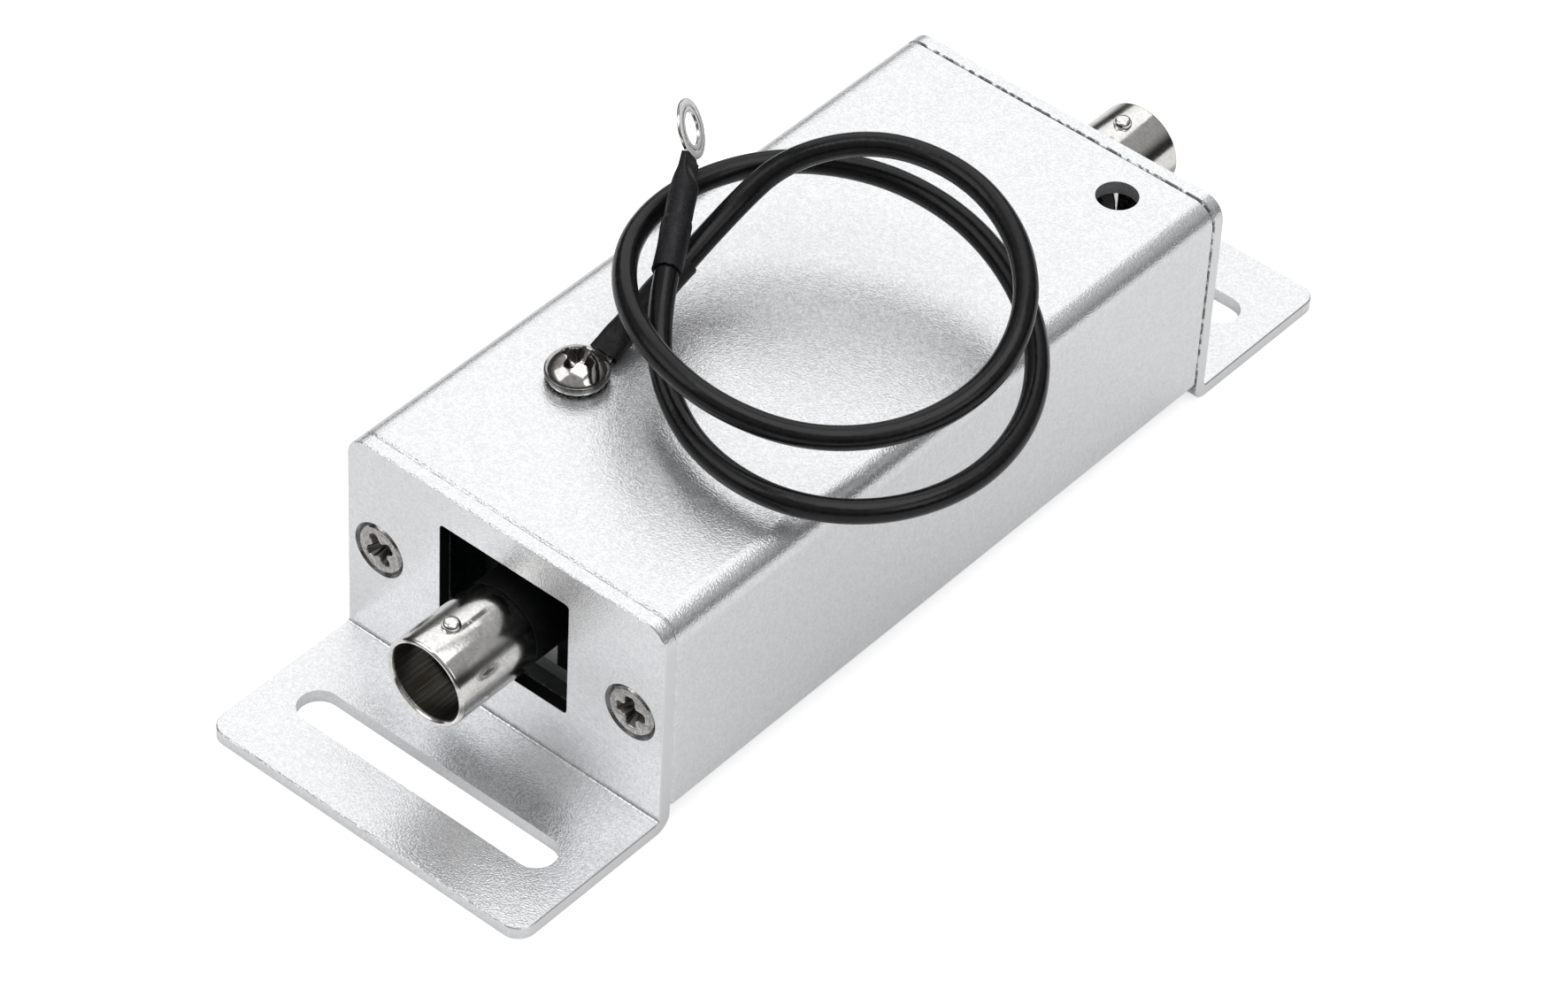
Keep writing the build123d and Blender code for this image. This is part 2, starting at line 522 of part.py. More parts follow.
# Circuit board: glass-fibre sheet slid into the housing's guides, drilled for every lead and peg.
with BuildPart() as circuit_board:
    with BuildSketch(Plane.XY.offset(BOARD_BOTTOM)) as board_outline:
        with Locations((0, BOARD_SHIFT + REAR_JACK_STEP / 2)):
            Rectangle(WIDTH - 2 * WALL - 2 * BOARD_SIDE_GAP, BOARD_LENGTH + REAR_JACK_STEP)
        for seat in (Location((0, 0, 0)), HALF_TURN):
            with Locations(*[seat * Location((x, JACK_CENTRE_Y + 4, 0)) for x in (-5, 5)]):
                Circle(1.0, mode=Mode.SUBTRACT)
            with Locations(seat * Location((0, TAIL_Y, 0))):
                Circle(0.5, mode=Mode.SUBTRACT)
        for y in (RESISTOR_1_Y, 2 * BOARD_SHIFT - RESISTOR_1_Y):
            with Locations((-DIODE_PITCH / 2, y), (DIODE_PITCH / 2, y)):
                Circle(RESISTOR_LEAD, mode=Mode.SUBTRACT)
        for pitch, y in ((TUBE_PITCH, TUBE_Y), (DIODE_PITCH, DIODE_1_Y),
                         (DIODE_PITCH, DIODE_1_Y + DIODE_SPACING)):
            with Locations((-pitch / 2, y), (pitch / 2, y)):
                Circle(LEAD, mode=Mode.SUBTRACT)
    extrude(amount=BOARD_THICKNESS)
circuit_board.part.label = "circuit_board"
export_step(circuit_board.part, "parts/circuit_board.step")

# Inner ring terminal: tinned copper eye under the ground screw, its neck bent up to a barrel.
EYE_BOTTOM = HEIGHT + TOOTH_WASHER
NECK_LENGTH = WASHER_RADIUS + 0.1
LEAD_UP = (0, cos(radians(LUG_TILT)), sin(radians(LUG_TILT)))
INNER_BEND = Vector(STUD_X, STUD_Y + NECK_LENGTH, EYE_BOTTOM + EYE_THICKNESS / 2)
inner_axis = Plane(INNER_BEND, x_dir=(1, 0, 0), z_dir=LEAD_UP)
with BuildPart() as inner_ring_terminal:
    with BuildSketch(Plane((STUD_X, STUD_Y, EYE_BOTTOM))):
        Circle(EYE_RADIUS)
        Rectangle(NECK_WIDTH, NECK_LENGTH, align=(Align.CENTER, Align.MIN))
        Circle(EYE_HOLE, mode=Mode.SUBTRACT)
    extrude(amount=EYE_THICKNESS)
    with BuildSketch(inner_axis.offset(-0.1)):
        Rectangle(NECK_WIDTH, EYE_THICKNESS)
    extrude(amount=3.6)
    with BuildSketch(inner_axis.offset(3.2)):
        Circle(BARREL_RADIUS)
    extrude(amount=4.2)
inner_ring_terminal.part.label = "inner_ring_terminal"
export_step(inner_ring_terminal.part, "parts/inner_ring_terminal.step")

# Inner sleeve: black heat-shrink tube, flat over the neck and round over the barrel and wire.
SLEEVE_START = 0.4
with BuildPart() as inner_sleeve:
    with BuildSketch(inner_axis.offset(SLEEVE_START)):
        RectangleRounded(*INNER_FLAT, 0.45 * INNER_FLAT[1])
    with BuildSketch(inner_axis.offset(SLEEVE_START + SLEEVE_TAPER)):
        Circle(SLEEVE_RADIUS)
    loft()
    with BuildSketch(inner_axis.offset(SLEEVE_START + SLEEVE_TAPER)):
        Circle(SLEEVE_RADIUS)
    extrude(amount=INNER_SLEEVE_LENGTH - SLEEVE_TAPER)
    add(inner_ring_terminal.part, mode=Mode.SUBTRACT)
inner_sleeve.part.label = "inner_sleeve"
export_step(inner_sleeve.part, "parts/inner_sleeve.step")

# Ground wire: black insulated lead. It leaves the inner sleeve, winds two loose loops above the
# housing and ends in the outer sleeve. The loops are measured from the ground screw.
WIRE_START = inner_axis.offset(SLEEVE_START + INNER_SLEEVE_LENGTH).origin
OUTER_UP = Vector(-0.5058, 0.8184, 0.2722).normalized()
STUD = Vector(STUD_X, STUD_Y, HEIGHT)
WIRE_END = STUD + Vector(2.38, 9.85, 8.6)
FIRST_RUN = 6.9
LAST_RUN = 6.2
loops = [(2.2, 27.35, 12), (8.3, 33.75, 13.9), (17.2, 36.05, 13.6), (26.2, 33.05, 12.8),
         (32.9, 26.55, 11.2), (35.1, 18.15, 8.6), (32, 9.75, 6.3), (25.7, 2.85, 6.2), (17.5, -0.95, 8),
         (8.6, -0.05, 9.2), (0.7, 4.95, 9), (-4.4, 12.75, 8.4), (-4.9, 21.95, 8.3), (-0.5, 30.05, 8.7),
         (7.4, 34.95, 8.7), (16.5, 36.15, 8), (25.3, 33.95, 6.7), (32.9, 28.85, 5.2),
         (37.8, 21.25, 3.8), (38.8, 12.15, 2.8), (35.3, 3.45, 2.6), (28, -2.15, 2.7),
         (18.5, -2.65, 2.7), (10.2, 0.95, 3.4)]
route = [WIRE_START, WIRE_START + inner_axis.z_dir * FIRST_RUN, *[STUD + Vector(p) for p in loops],
         WIRE_END - OUTER_UP * LAST_RUN, WIRE_END]
runs = [b - a for a, b in zip(route, route[1:])]
turns = [radians(a.get_angle(b)) for a, b in zip(runs, runs[1:])]
bends = [0.45 * min(a.length, b.length) / tan(t / 2) for a, b, t in zip(runs, runs[1:], turns)]
with BuildPart() as ground_wire:
    with BuildLine() as wire_path:
        FilletPolyline(*route, radius=bends)
    with BuildSketch(Plane(route[0], z_dir=runs[0])):
        Circle(WIRE_RADIUS)
    sweep(path=wire_path.wire())
ground_wire.part.label = "ground_wire"
export_step(ground_wire.part, "parts/ground_wire.step")
wire_length = wire_path.wire().length
print("bend radii", [round(r, 1) for r in bends], "wire length", round(wire_length, 1),
      "volume ratio", round(ground_wire.part.volume / (pi * WIRE_RADIUS ** 2 * wire_length), 4))

# Outer ring terminal: the same tinned eye on the free end, its neck bent a little out of line.
EYE_UP = Vector(-0.6084, 0.6866, 0.3982).normalized()
FACING = Vector(0.7875, 0.4621, 0.4065)
EYE_NORMAL = (FACING - EYE_UP * FACING.dot(EYE_UP)).normalized()
OUTER_NORMAL = (FACING - OUTER_UP * FACING.dot(OUTER_UP)).normalized()
ACROSS = OUTER_NORMAL.cross(OUTER_UP)
outer_axis = Plane(WIRE_END + OUTER_UP * OUTER_SLEEVE_LENGTH, x_dir=ACROSS, z_dir=-OUTER_UP)
OUTER_BEND = outer_axis.offset(-SLEEVE_START).origin
EYE_CENTRE = OUTER_BEND + EYE_UP * (EYE_RADIUS - 0.1)
eye_plane = Plane(EYE_CENTRE - EYE_NORMAL * (EYE_THICKNESS / 2), x_dir=-EYE_UP, z_dir=EYE_NORMAL)
with BuildPart() as outer_ring_terminal:
    with BuildSketch(eye_plane):
        Circle(EYE_RADIUS)
        Rectangle(EYE_RADIUS - 0.1, NECK_WIDTH, align=(Align.MIN, Align.CENTER))
        Circle(EYE_HOLE, mode=Mode.SUBTRACT)
    extrude(amount=EYE_THICKNESS)
    with BuildSketch(Plane(OUTER_BEND, x_dir=ACROSS, z_dir=-OUTER_UP).offset(-0.1)):
        Rectangle(NECK_WIDTH, EYE_THICKNESS)
    extrude(amount=4.0)
    with BuildSketch(outer_axis.offset(3.2)):
        Circle(BARREL_RADIUS)
    extrude(amount=4.2)
outer_ring_terminal.part.label = "outer_ring_terminal"
export_step(outer_ring_terminal.part, "parts/outer_ring_terminal.step")

# Outer sleeve: heat-shrink tube over the free end's neck, barrel and wire.
with BuildPart() as outer_sleeve:
    with BuildSketch(outer_axis):
        RectangleRounded(*OUTER_FLAT, 0.45 * OUTER_FLAT[1])
    with BuildSketch(outer_axis.offset(SLEEVE_TAPER)):
        Circle(SLEEVE_RADIUS)
    loft()
    with BuildSketch(outer_axis.offset(SLEEVE_TAPER)):
        Circle(SLEEVE_RADIUS)
    extrude(amount=OUTER_SLEEVE_LENGTH - SLEEVE_TAPER)
    add(outer_ring_terminal.part, mode=Mode.SUBTRACT)
outer_sleeve.part.label = "outer_sleeve"
export_step(outer_sleeve.part, "parts/outer_sleeve.step")
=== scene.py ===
from math import asin, cos, pi, radians, sin, tau

import bmesh
import bpy
from mathutils import Matrix, Vector, noise


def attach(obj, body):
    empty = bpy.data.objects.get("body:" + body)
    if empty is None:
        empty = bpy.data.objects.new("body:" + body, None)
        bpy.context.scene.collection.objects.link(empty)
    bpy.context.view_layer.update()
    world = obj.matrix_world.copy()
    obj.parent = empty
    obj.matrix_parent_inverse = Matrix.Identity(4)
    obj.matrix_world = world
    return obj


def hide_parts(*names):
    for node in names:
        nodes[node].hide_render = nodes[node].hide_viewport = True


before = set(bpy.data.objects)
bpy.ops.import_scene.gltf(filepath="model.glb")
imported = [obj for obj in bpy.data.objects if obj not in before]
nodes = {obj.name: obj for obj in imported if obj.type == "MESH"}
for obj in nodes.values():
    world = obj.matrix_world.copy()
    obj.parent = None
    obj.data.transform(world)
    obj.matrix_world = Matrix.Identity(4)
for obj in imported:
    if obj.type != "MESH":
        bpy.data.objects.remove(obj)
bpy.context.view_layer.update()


# Camera: a long lens high over the front right corner, a little turned, where the photograph
# was taken from. Its three axes are written as they stand in the object's frame.
CAMERA_PLACE = Vector((0.272137, -0.345250, 0.413227))
CAMERA_RIGHT = Vector((0.75963652, 0.64902621, 0.04144075))
CAMERA_UP = Vector((-0.46673184, 0.49968205, 0.72971175))
camera = bpy.data.objects.new("camera", bpy.data.cameras.new("camera"))
bpy.context.collection.objects.link(camera)
camera.data.sensor_width = 36
camera.data.lens = 139.8
camera.data.clip_start = 0.02
camera.data.clip_end = 20
camera.matrix_world = Matrix.Translation(CAMERA_PLACE) @ Matrix(
    (CAMERA_RIGHT, CAMERA_UP, CAMERA_RIGHT.cross(CAMERA_UP))).transposed().to_4x4()
bpy.context.scene.camera = camera


# Studio: a seamless white table in a dim room. Bare metal shows a large softbox behind it on
# the left, one before it on the left, one on the right and a dark horizon.
def lamp(name, place, width, length, power):
    """A rectangular softbox that faces the box."""
    light = bpy.data.lights.new(name, "AREA")
    light.shape, light.size, light.size_y, light.energy = "RECTANGLE", width, length, power
    holder = bpy.data.objects.new(name, light)
    bpy.context.collection.objects.link(holder)
    holder.location = place
    holder.rotation_euler = (BOX_MIDDLE - Vector(place)).to_track_quat("-Z", "Y").to_euler()


def feed(tree, socket, value):
    """Links another node's output to the socket, or sets the socket to a number."""
    if isinstance(value, bpy.types.NodeSocket):
        tree.links.new(value, socket)
    else:
        socket.default_value = value


def math_node(tree, operation, a, b=0.0):
    node = tree.nodes.new("ShaderNodeMath")
    node.operation = operation
    feed(tree, node.inputs[0], a)
    feed(tree, node.inputs[1], b)
    return node.outputs[0]


def parts_node(tree, output="Object"):
    """The X, Y and Z of a texture coordinate."""
    node = tree.nodes.new("ShaderNodeSeparateXYZ")
    tree.links.new(tree.nodes.new("ShaderNodeTexCoord").outputs[output], node.inputs[0])
    return node.outputs


def ray_nodes(tree):
    """1 for the camera's rays, and 1 for rays that come off or through something shiny."""
    rays = tree.nodes.new("ShaderNodeLightPath").outputs
    mirrored = math_node(tree, "MAXIMUM", rays["Is Glossy Ray"], rays["Is Transmission Ray"])
    return rays["Is Camera Ray"], mirrored


def fade_node(tree, value, start, end, low, high):
    """The value's smooth way from low, at start, to high, at end."""
    node = tree.nodes.new("ShaderNodeMapRange")
    node.interpolation_type = "SMOOTHSTEP"
    tree.links.new(value, node.inputs["Value"])
    for socket, number in zip(("From Min", "From Max", "To Min", "To Max"), (start, end, low, high)):
        node.inputs[socket].default_value = number
    return node.outputs["Result"]


BOX_MIDDLE = Vector((0, 0, 0.02))
ROOM_LIGHT = 0.42
HORIZON = 0.04
CEILING = 0.32
WALL_FOOT, WALL_TOP = 0.2, 0.6
PAPER = 0.8
PAPER_GLOW = 0.66
PAPER_MIRRORED = 0.05
lamp("overhead_lamp", (0.1, 0.02, 0.78), 0.6, 0.6, 2.1)
lamp("back_left_lamp", (-0.4, 0.49, 0.6), 0.8, 0.8, 1.66)
lamp("front_left_lamp", (-0.38, -0.45, 0.6), 0.5, 0.5, 1.0)
lamp("right_lamp", (0.65, -0.1, 0.52), 0.36, 0.36, 0.5)

bpy.context.scene.view_settings.view_transform = "Standard"
world = bpy.data.worlds.new("studio")
bpy.context.scene.world = world
world.use_nodes = True
sky = world.node_tree
sky.nodes["Background"].inputs["Color"].default_value = (1, 1, 1, 1)
room = fade_node(sky, parts_node(sky, "Generated")["Z"], WALL_FOOT, WALL_TOP, HORIZON, CEILING)
watched, mirrored = ray_nodes(sky)
seen = math_node(sky, "MAXIMUM", watched, math_node(sky, "MULTIPLY", mirrored, room))
unseen = math_node(sky, "SUBTRACT", 1.0, math_node(sky, "MAXIMUM", watched, mirrored))
sky.links.new(math_node(sky, "ADD", seen, math_node(sky, "MULTIPLY", unseen, ROOM_LIGHT)),
              sky.nodes["Background"].inputs["Strength"])

table = bpy.data.meshes.new("table")
table.from_pydata([(-3, -3, 0), (3, -3, 0), (3, 3, 0), (-3, 3, 0)], [], [(0, 1, 2, 3)])
table = bpy.data.objects.new("table", table)
bpy.context.collection.objects.link(table)
paper = bpy.data.materials.new("table_paper")
paper.use_nodes = True
sheet = paper.node_tree
plain = sheet.nodes["Principled BSDF"]
plain.inputs["Base Color"].default_value = (PAPER, PAPER, PAPER, 1)
plain.inputs["Roughness"].default_value = 0.9
plain.inputs["Specular IOR Level"].default_value = 0.0
watched, mirrored = ray_nodes(sheet)
glow = sheet.nodes.new("ShaderNodeEmission")
sheet.links.new(math_node(sheet, "MAXIMUM", math_node(sheet, "MULTIPLY", watched, PAPER_GLOW),
                          math_node(sheet, "MULTIPLY", mirrored, PAPER_MIRRORED)), glow.inputs["Strength"])
both = sheet.nodes.new("ShaderNodeAddShader")
sheet.links.new(plain.outputs[0], both.inputs[0])
sheet.links.new(glow.outputs[0], both.inputs[1])
sheet.links.new(both.outputs[0], sheet.nodes["Material Output"].inputs["Surface"])
table.data.materials.append(paper)


# Housing: an aluminium extrusion, blasted with fine glass beads and clear anodised, so that it
# is pale and matt with a sparkling grain.
def noise_node(tree, place, size, detail):
    node = tree.nodes.new("ShaderNodeTexNoise")
    node.inputs["Scale"].default_value = 1 / size
    node.inputs["Detail"].default_value = detail
    tree.links.new(place, node.inputs["Vector"])
    return node.outputs["Fac"]


def surface(name, colour, metallic, roughness, grain, depth, mottle, spread=0.15, shine=0.5):
    """Speckle in colour and relief and slow change in roughness; grain and depth in metres."""
    material = bpy.data.materials.new(name)
    material.use_nodes = True
    tree = material.node_tree
    shader = tree.nodes["Principled BSDF"]
    shader.inputs["Metallic"].default_value = metallic
    shader.inputs["Specular IOR Level"].default_value = shine
    place = tree.nodes.new("ShaderNodeTexCoord").outputs["Object"]
    fine = noise_node(tree, place, grain, 1.0)
    speckle = math_node(tree, "ADD", math_node(tree, "MULTIPLY", fine, 0.65),
                        math_node(tree, "MULTIPLY", noise_node(tree, place, 2.6 * grain, 1.0), 0.35))
    blend = tree.nodes.new("ShaderNodeMix")
    blend.data_type = "RGBA"
    blend.inputs["A"].default_value = (*[c * (1 - mottle) for c in colour], 1)
    blend.inputs["B"].default_value = (*[min(1, c * (1 + mottle)) for c in colour], 1)
    relief = tree.nodes.new("ShaderNodeBump")
    relief.inputs["Distance"].default_value = depth
    slow = noise_node(tree, place, 9 * grain, 3.0)
    tree.links.new(fine, relief.inputs["Height"])
    tree.links.new(relief.outputs["Normal"], shader.inputs["Normal"])
    tree.links.new(fade_node(tree, speckle, 0.36, 0.64, 0.0, 1.0), blend.inputs["Factor"])
    tree.links.new(blend.outputs["Result"], shader.inputs["Base Color"])
    tree.links.new(fade_node(tree, slow, 0.3, 0.7, roughness * (1 - spread), roughness * (1 + spread)),
                   shader.inputs["Roughness"])
    return material


def dress(material, *names):
    for name in names:
        nodes[name].material_slots[0].material = material


ALUMINIUM = (0.872, 0.88, 0.895)
ANODISED = 0.76
BEAD, DENT = 0.00018, 0.00004
dress(surface("blasted_anodised_aluminium", ALUMINIUM, ANODISED, 0.24, BEAD, DENT, 0.08, 0.08), "housing")


# End plates: aluminium sheet, blanked and bent outwards into a mounting foot, finished with the
# housing; its sheared edges are plainer and greyer, its countersinks are cut bright, and painted
# shade darkens the countersinks and the walls of the windows.
PLATE_FACE = 0.04175
SCREW_ACROSS = 0.0159
SCREW_UP = 0.0134
COUNTERSINK = 0.0031
SHEET_EDGE = 0.01985
WINDOW_HALF, WINDOW_LOW, WINDOW_HIGH = 0.0084, 0.0072, 0.0223
SEAM_DEPTH = 0.0014
CUT_DEEP, CUT_SHALLOW = 0.00138, 0.00008
plate_skin = surface("blasted_anodised_sheet", ALUMINIUM, ANODISED, 0.22, BEAD, DENT, 0.08, 0.08)


def axes_node(tree, output="Object"):
    """The parts of a coordinate without their signs, alike on both sides of the box."""
    return [math_node(tree, "ABSOLUTE", part) for part in parts_node(tree, output)]


def between_node(tree, value, low, high):
    return math_node(tree, "MULTIPLY", math_node(tree, "GREATER_THAN", value, low),
                     math_node(tree, "LESS_THAN", value, high))


def distance_node(tree, across, up):
    return math_node(tree, "SQRT", math_node(tree, "ADD", math_node(tree, "MULTIPLY", across, across),
                                             math_node(tree, "MULTIPLY", up, up)))


def overlay(material, mask, colour, roughness):
    """Another finish where the mask is 1."""
    tree = material.node_tree
    shader = tree.nodes["Principled BSDF"]
    for name, kind, value in (("Base Color", "RGBA", (*colour, 1)), ("Roughness", "FLOAT", roughness)):
        mix = tree.nodes.new("ShaderNodeMix")
        mix.data_type = kind
        tree.links.new(shader.inputs[name].links[0].from_socket, mix.inputs["A"])
        mix.inputs["B"].default_value = value
        tree.links.new(mask, mix.inputs["Factor"])
        tree.links.new(mix.outputs["Result"], shader.inputs[name])


skin = plate_skin.node_tree
x, y, z = axes_node(skin)
from_screw = distance_node(skin, math_node(skin, "SUBTRACT", x, SCREW_ACROSS),
                           math_node(skin, "SUBTRACT", z, SCREW_UP))
in_window = math_node(skin, "MULTIPLY", math_node(skin, "LESS_THAN", x, WINDOW_HALF),
                      between_node(skin, z, WINDOW_LOW, WINDOW_HIGH))
in_window = math_node(skin, "MULTIPLY", in_window,
                      between_node(skin, y, PLATE_FACE - CUT_DEEP, PLATE_FACE - CUT_SHALLOW))
overlay(plate_skin, math_node(skin, "GREATER_THAN", x, SHEET_EDGE), (0.86, 0.86, 0.87), 0.3)
# Painted shade: the walls of each window are coloured near black.
overlay(plate_skin, in_window, (0.02, 0.02, 0.022), 0.5)
# Painted shade: a dark ring round each screw head, in its countersink.
overlay(plate_skin, math_node(skin, "LESS_THAN", from_screw, COUNTERSINK), (0.2, 0.2, 0.205), 0.14)
seam = noise_node(skin, skin.nodes["Texture Coordinate"].outputs["Object"], 0.0007, 3.0)
seam = math_node(skin, "MULTIPLY", fade_node(skin, seam, 0.38, 0.55, 0.0, 0.85),
                 math_node(skin, "LESS_THAN", y, PLATE_FACE - SEAM_DEPTH))
overlay(plate_skin, seam, (0.1, 0.1, 0.105), 0.5)
dress(plate_skin, "front_plate", "rear_plate")


# Plate screws: four nickel-plated M3 countersunk screws with a cross recess, each driven home
# flush in its countersink, with a bevelled rim. The dark groove round each head is painted shade
# in the plate's countersink, and painted shade darkens the cross recess.
SCREW_HEAD = 0.0028
SCREW_RIM = 0.0003
SCREW_SHANK = 0.0015
SCREW_TIP = -0.0083
RECESS_DEEP = 0.0001
RECESS_REACH = 0.0019


def lathe(profile, steps=96):
    """A closed solid of revolution about Z from (radius, height) pairs; a pair at radius 0 is a pole."""
    mesh = bmesh.new()
    rings = []
    for radius, z in profile:
        if radius == 0:
            rings.append([mesh.verts.new((0, 0, z))])
        else:
            rings.append([mesh.verts.new((radius * cos(tau * i / steps), radius * sin(tau * i / steps), z))
                          for i in range(steps)])
    pairs = list(zip(rings, rings[1:]))
    if profile[0][0] and profile[-1][0]:
        pairs.append((rings[-1], rings[0]))
    for low, high in pairs:
        for i in range(steps):
            j = (i + 1) % steps
            if len(low) == 1:
                mesh.faces.new((low[0], high[j], high[i]))
            elif len(high) == 1:
                mesh.faces.new((low[i], low[j], high[0]))
            else:
                mesh.faces.new((low[i], low[j], high[j], high[i]))
    bmesh.ops.recalc_face_normals(mesh, faces=mesh.faces)
    return mesh


def rounded(corners, radius, steps=4):
    """A (radius, height) outline with its inner corners rounded."""
    points = [corners[0]]
    for before, corner, after in zip(corners, corners[1:], corners[2:]):
        a, b, c = Vector(before), Vector(corner), Vector(after)
        cut = min(radius, 0.45 * (b - a).length, 0.45 * (c - b).length)
        start, end = b + (a - b).normalized() * cut, b + (c - b).normalized() * cut
        for i in range(steps + 1):
            t = i / steps
            points.append(tuple(start * (1 - t) ** 2 + b * 2 * t * (1 - t) + end * t ** 2))
    return points + [corners[-1]]


def join(mesh, other):
    """Adds the other mesh to the first one."""
    data = bpy.data.meshes.new("other")
    other.to_mesh(data)
    other.free()
    mesh.from_mesh(data)
    bpy.data.meshes.remove(data)


def as_object(name, mesh, material=None, sharp=35):
    """A finished object of the mesh, sharp where its faces meet at more than the angle in degrees."""
    data = bpy.data.meshes.new(name)
    mesh.to_mesh(data)
    mesh.free()
    data.shade_smooth()
    data.set_sharp_from_angle(angle=radians(sharp))
    piece = bpy.data.objects.new(name, data)
    bpy.context.collection.objects.link(piece)
    if material:
        data.materials.append(material)
    return piece


def settled(piece, sharp):
    """The piece with its modifiers baked into a plain mesh."""
    depsgraph = bpy.context.evaluated_depsgraph_get()
    data = bpy.data.meshes.new_from_object(piece.evaluated_get(depsgraph))
    piece.modifiers.clear()
    old, piece.data = piece.data, data
    bpy.data.meshes.remove(old)
    data.name = piece.name
    data.shade_smooth()
    data.set_sharp_from_angle(angle=radians(sharp))
    return piece


def cross_cutter(top, reach, width, depth, fillet):
    """A tapering cross with a pointed foot, as the punch that forms a cross recess."""
    mesh = bmesh.new()
    outline = []
    for quarter in range(4):
        turn = Matrix.Rotation(quarter * pi / 2, 3, "Z")
        arm = [(width, width + fillet), (width, reach - fillet), (width * 0.6, reach),
               (-width * 0.6, reach), (-width, reach - fillet), (-width, width + fillet),
               (-width - fillet * 0.3, width + fillet * 0.3)]
        outline += [turn @ Vector((x, y, 0)) for x, y in arm]
    rings = [[mesh.verts.new((p.x * s, p.y * s, z)) for p in outline]
             for s, z in ((1.08, top + 0.0004), (1.0, top), (0.55, top - depth))]
    tip = mesh.verts.new((0, 0, top - depth - 0.0005))
    count = len(outline)
    mesh.faces.new(rings[0])
    for upper, lower in zip(rings, rings[1:]):
        for i in range(count):
            j = (i + 1) % count
            mesh.faces.new((upper[i], lower[i], lower[j], upper[j]))
    for i in range(count):
        mesh.faces.new((rings[-1][i], tip, rings[-1][(i + 1) % count]))
    bmesh.ops.recalc_face_normals(mesh, faces=mesh.faces)
    return mesh


def recessed(name, blank, cutter, bevel, material):
    """The blank with the cutter's shape sunk in it and every edge a little softened."""
    piece = as_object(name, blank, material)
    punch = as_object(name + "_punch", cutter)
    cut = piece.modifiers.new("recess", "BOOLEAN")
    cut.object, cut.operation, cut.solver = punch, "DIFFERENCE", "EXACT"
    soften = piece.modifiers.new("soften", "BEVEL")
    soften.width, soften.segments, soften.limit_method, soften.angle_limit = bevel, 3, "ANGLE", radians(38)
    settled(piece, 45)
    bpy.data.objects.remove(punch)
    return piece


def node_tree(name, **inputs):
    """An empty geometry tree with the piece's mesh and the named sizes as its inputs."""
    tree = bpy.data.node_groups.new(name, "GeometryNodeTree")
    tree.interface.new_socket("Geometry", in_out="INPUT", socket_type="NodeSocketGeometry")
    tree.interface.new_socket("Geometry", in_out="OUTPUT", socket_type="NodeSocketGeometry")
    for label, value in inputs.items():
        kind = "NodeSocketInt" if isinstance(value, int) else "NodeSocketFloat"
        tree.interface.new_socket(label, in_out="INPUT", socket_type=kind).default_value = value
    return tree, tree.nodes.new("NodeGroupInput"), tree.nodes.new("NodeGroupOutput")


def apply_tree(piece, tree, geometry, result, material):
    """Ends the tree in real geometry with its material, and bakes it into the piece."""
    whole = tree.nodes.new("GeometryNodeRealizeInstances")
    coat = tree.nodes.new("GeometryNodeSetMaterial")
    coat.inputs["Material"].default_value = material
    tree.links.new(geometry, whole.inputs["Geometry"])
    tree.links.new(whole.outputs["Geometry"], coat.inputs["Geometry"])
    tree.links.new(coat.outputs["Geometry"], result.inputs["Geometry"])
    modifier = piece.modifiers.new(tree.name, "NODES")
    modifier.node_group = tree
    for item in tree.interface.items_tree:
        if item.in_out == "INPUT" and item.socket_type != "NodeSocketGeometry":
            modifier[item.identifier] = item.default_value
    return settled(piece, 40)


def vector_node(tree, *parts):
    node = tree.nodes.new("ShaderNodeCombineXYZ")
    for socket, part in zip(node.inputs, parts):
        feed(tree, socket, part)
    return node.outputs[0]


screw_nickel = surface("nickel_plated_screw", (0.45, 0.435, 0.42), 1.0, 0.19, 0.00022, 0.00001, 0.28, 0.3)
steel = screw_nickel.node_tree
x, y, z = axes_node(steel)
from_screw = distance_node(steel, math_node(steel, "SUBTRACT", x, SCREW_ACROSS),
                           math_node(steel, "SUBTRACT", z, SCREW_UP))
# Painted shade: the inside of each cross recess is darkened.
sunk = math_node(steel, "MULTIPLY", math_node(steel, "LESS_THAN", y, PLATE_FACE - RECESS_DEEP),
                 math_node(steel, "LESS_THAN", from_screw, RECESS_REACH))
overlay(screw_nickel, sunk, (0.11, 0.105, 0.10), 0.3)
screw_profile = rounded([(0, 0), (SCREW_HEAD - SCREW_RIM, 0), (SCREW_HEAD, -SCREW_RIM),
                         (SCREW_SHANK + 0.0001, -0.0015), (SCREW_SHANK, -0.0015),
                         (SCREW_SHANK, SCREW_TIP + 0.0005), (SCREW_SHANK - 0.0005, SCREW_TIP),
                         (0, SCREW_TIP)], 0.00008)
plate_screws = recessed("plate_screws", lathe(screw_profile, 72),
                        cross_cutter(0, 0.00185, 0.00062, 0.0011, 0.00028), 0.00006, screw_nickel)
screw_tree, given, result = node_tree("screws_in_plates", Across=SCREW_ACROSS, Up=SCREW_UP,
                                      Face=PLATE_FACE)
every_screw = screw_tree.nodes.new("GeometryNodeJoinGeometry")
for side, end, turn in ((-1, -1, 33), (1, -1, 4), (-1, 1, 4), (1, 1, 33)):
    seat = screw_tree.nodes.new("GeometryNodeTransform")
    screw_tree.links.new(given.outputs["Geometry"], seat.inputs["Geometry"])
    across = math_node(screw_tree, "MULTIPLY", given.outputs["Across"], side)
    face = math_node(screw_tree, "MULTIPLY", given.outputs["Face"], end)
    screw_tree.links.new(vector_node(screw_tree, across, face, given.outputs["Up"]),
                         seat.inputs["Translation"])
    outwards = Matrix.Rotation(radians(-90 * end), 4, "X") @ Matrix.Rotation(radians(turn), 4, "Z")
    seat.inputs["Rotation"].default_value = outwards.to_euler()
    screw_tree.links.new(seat.outputs["Geometry"], every_screw.inputs["Geometry"])
apply_tree(plate_screws, screw_tree, every_screw.outputs["Geometry"], result, screw_nickel)
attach(plate_screws, "root")
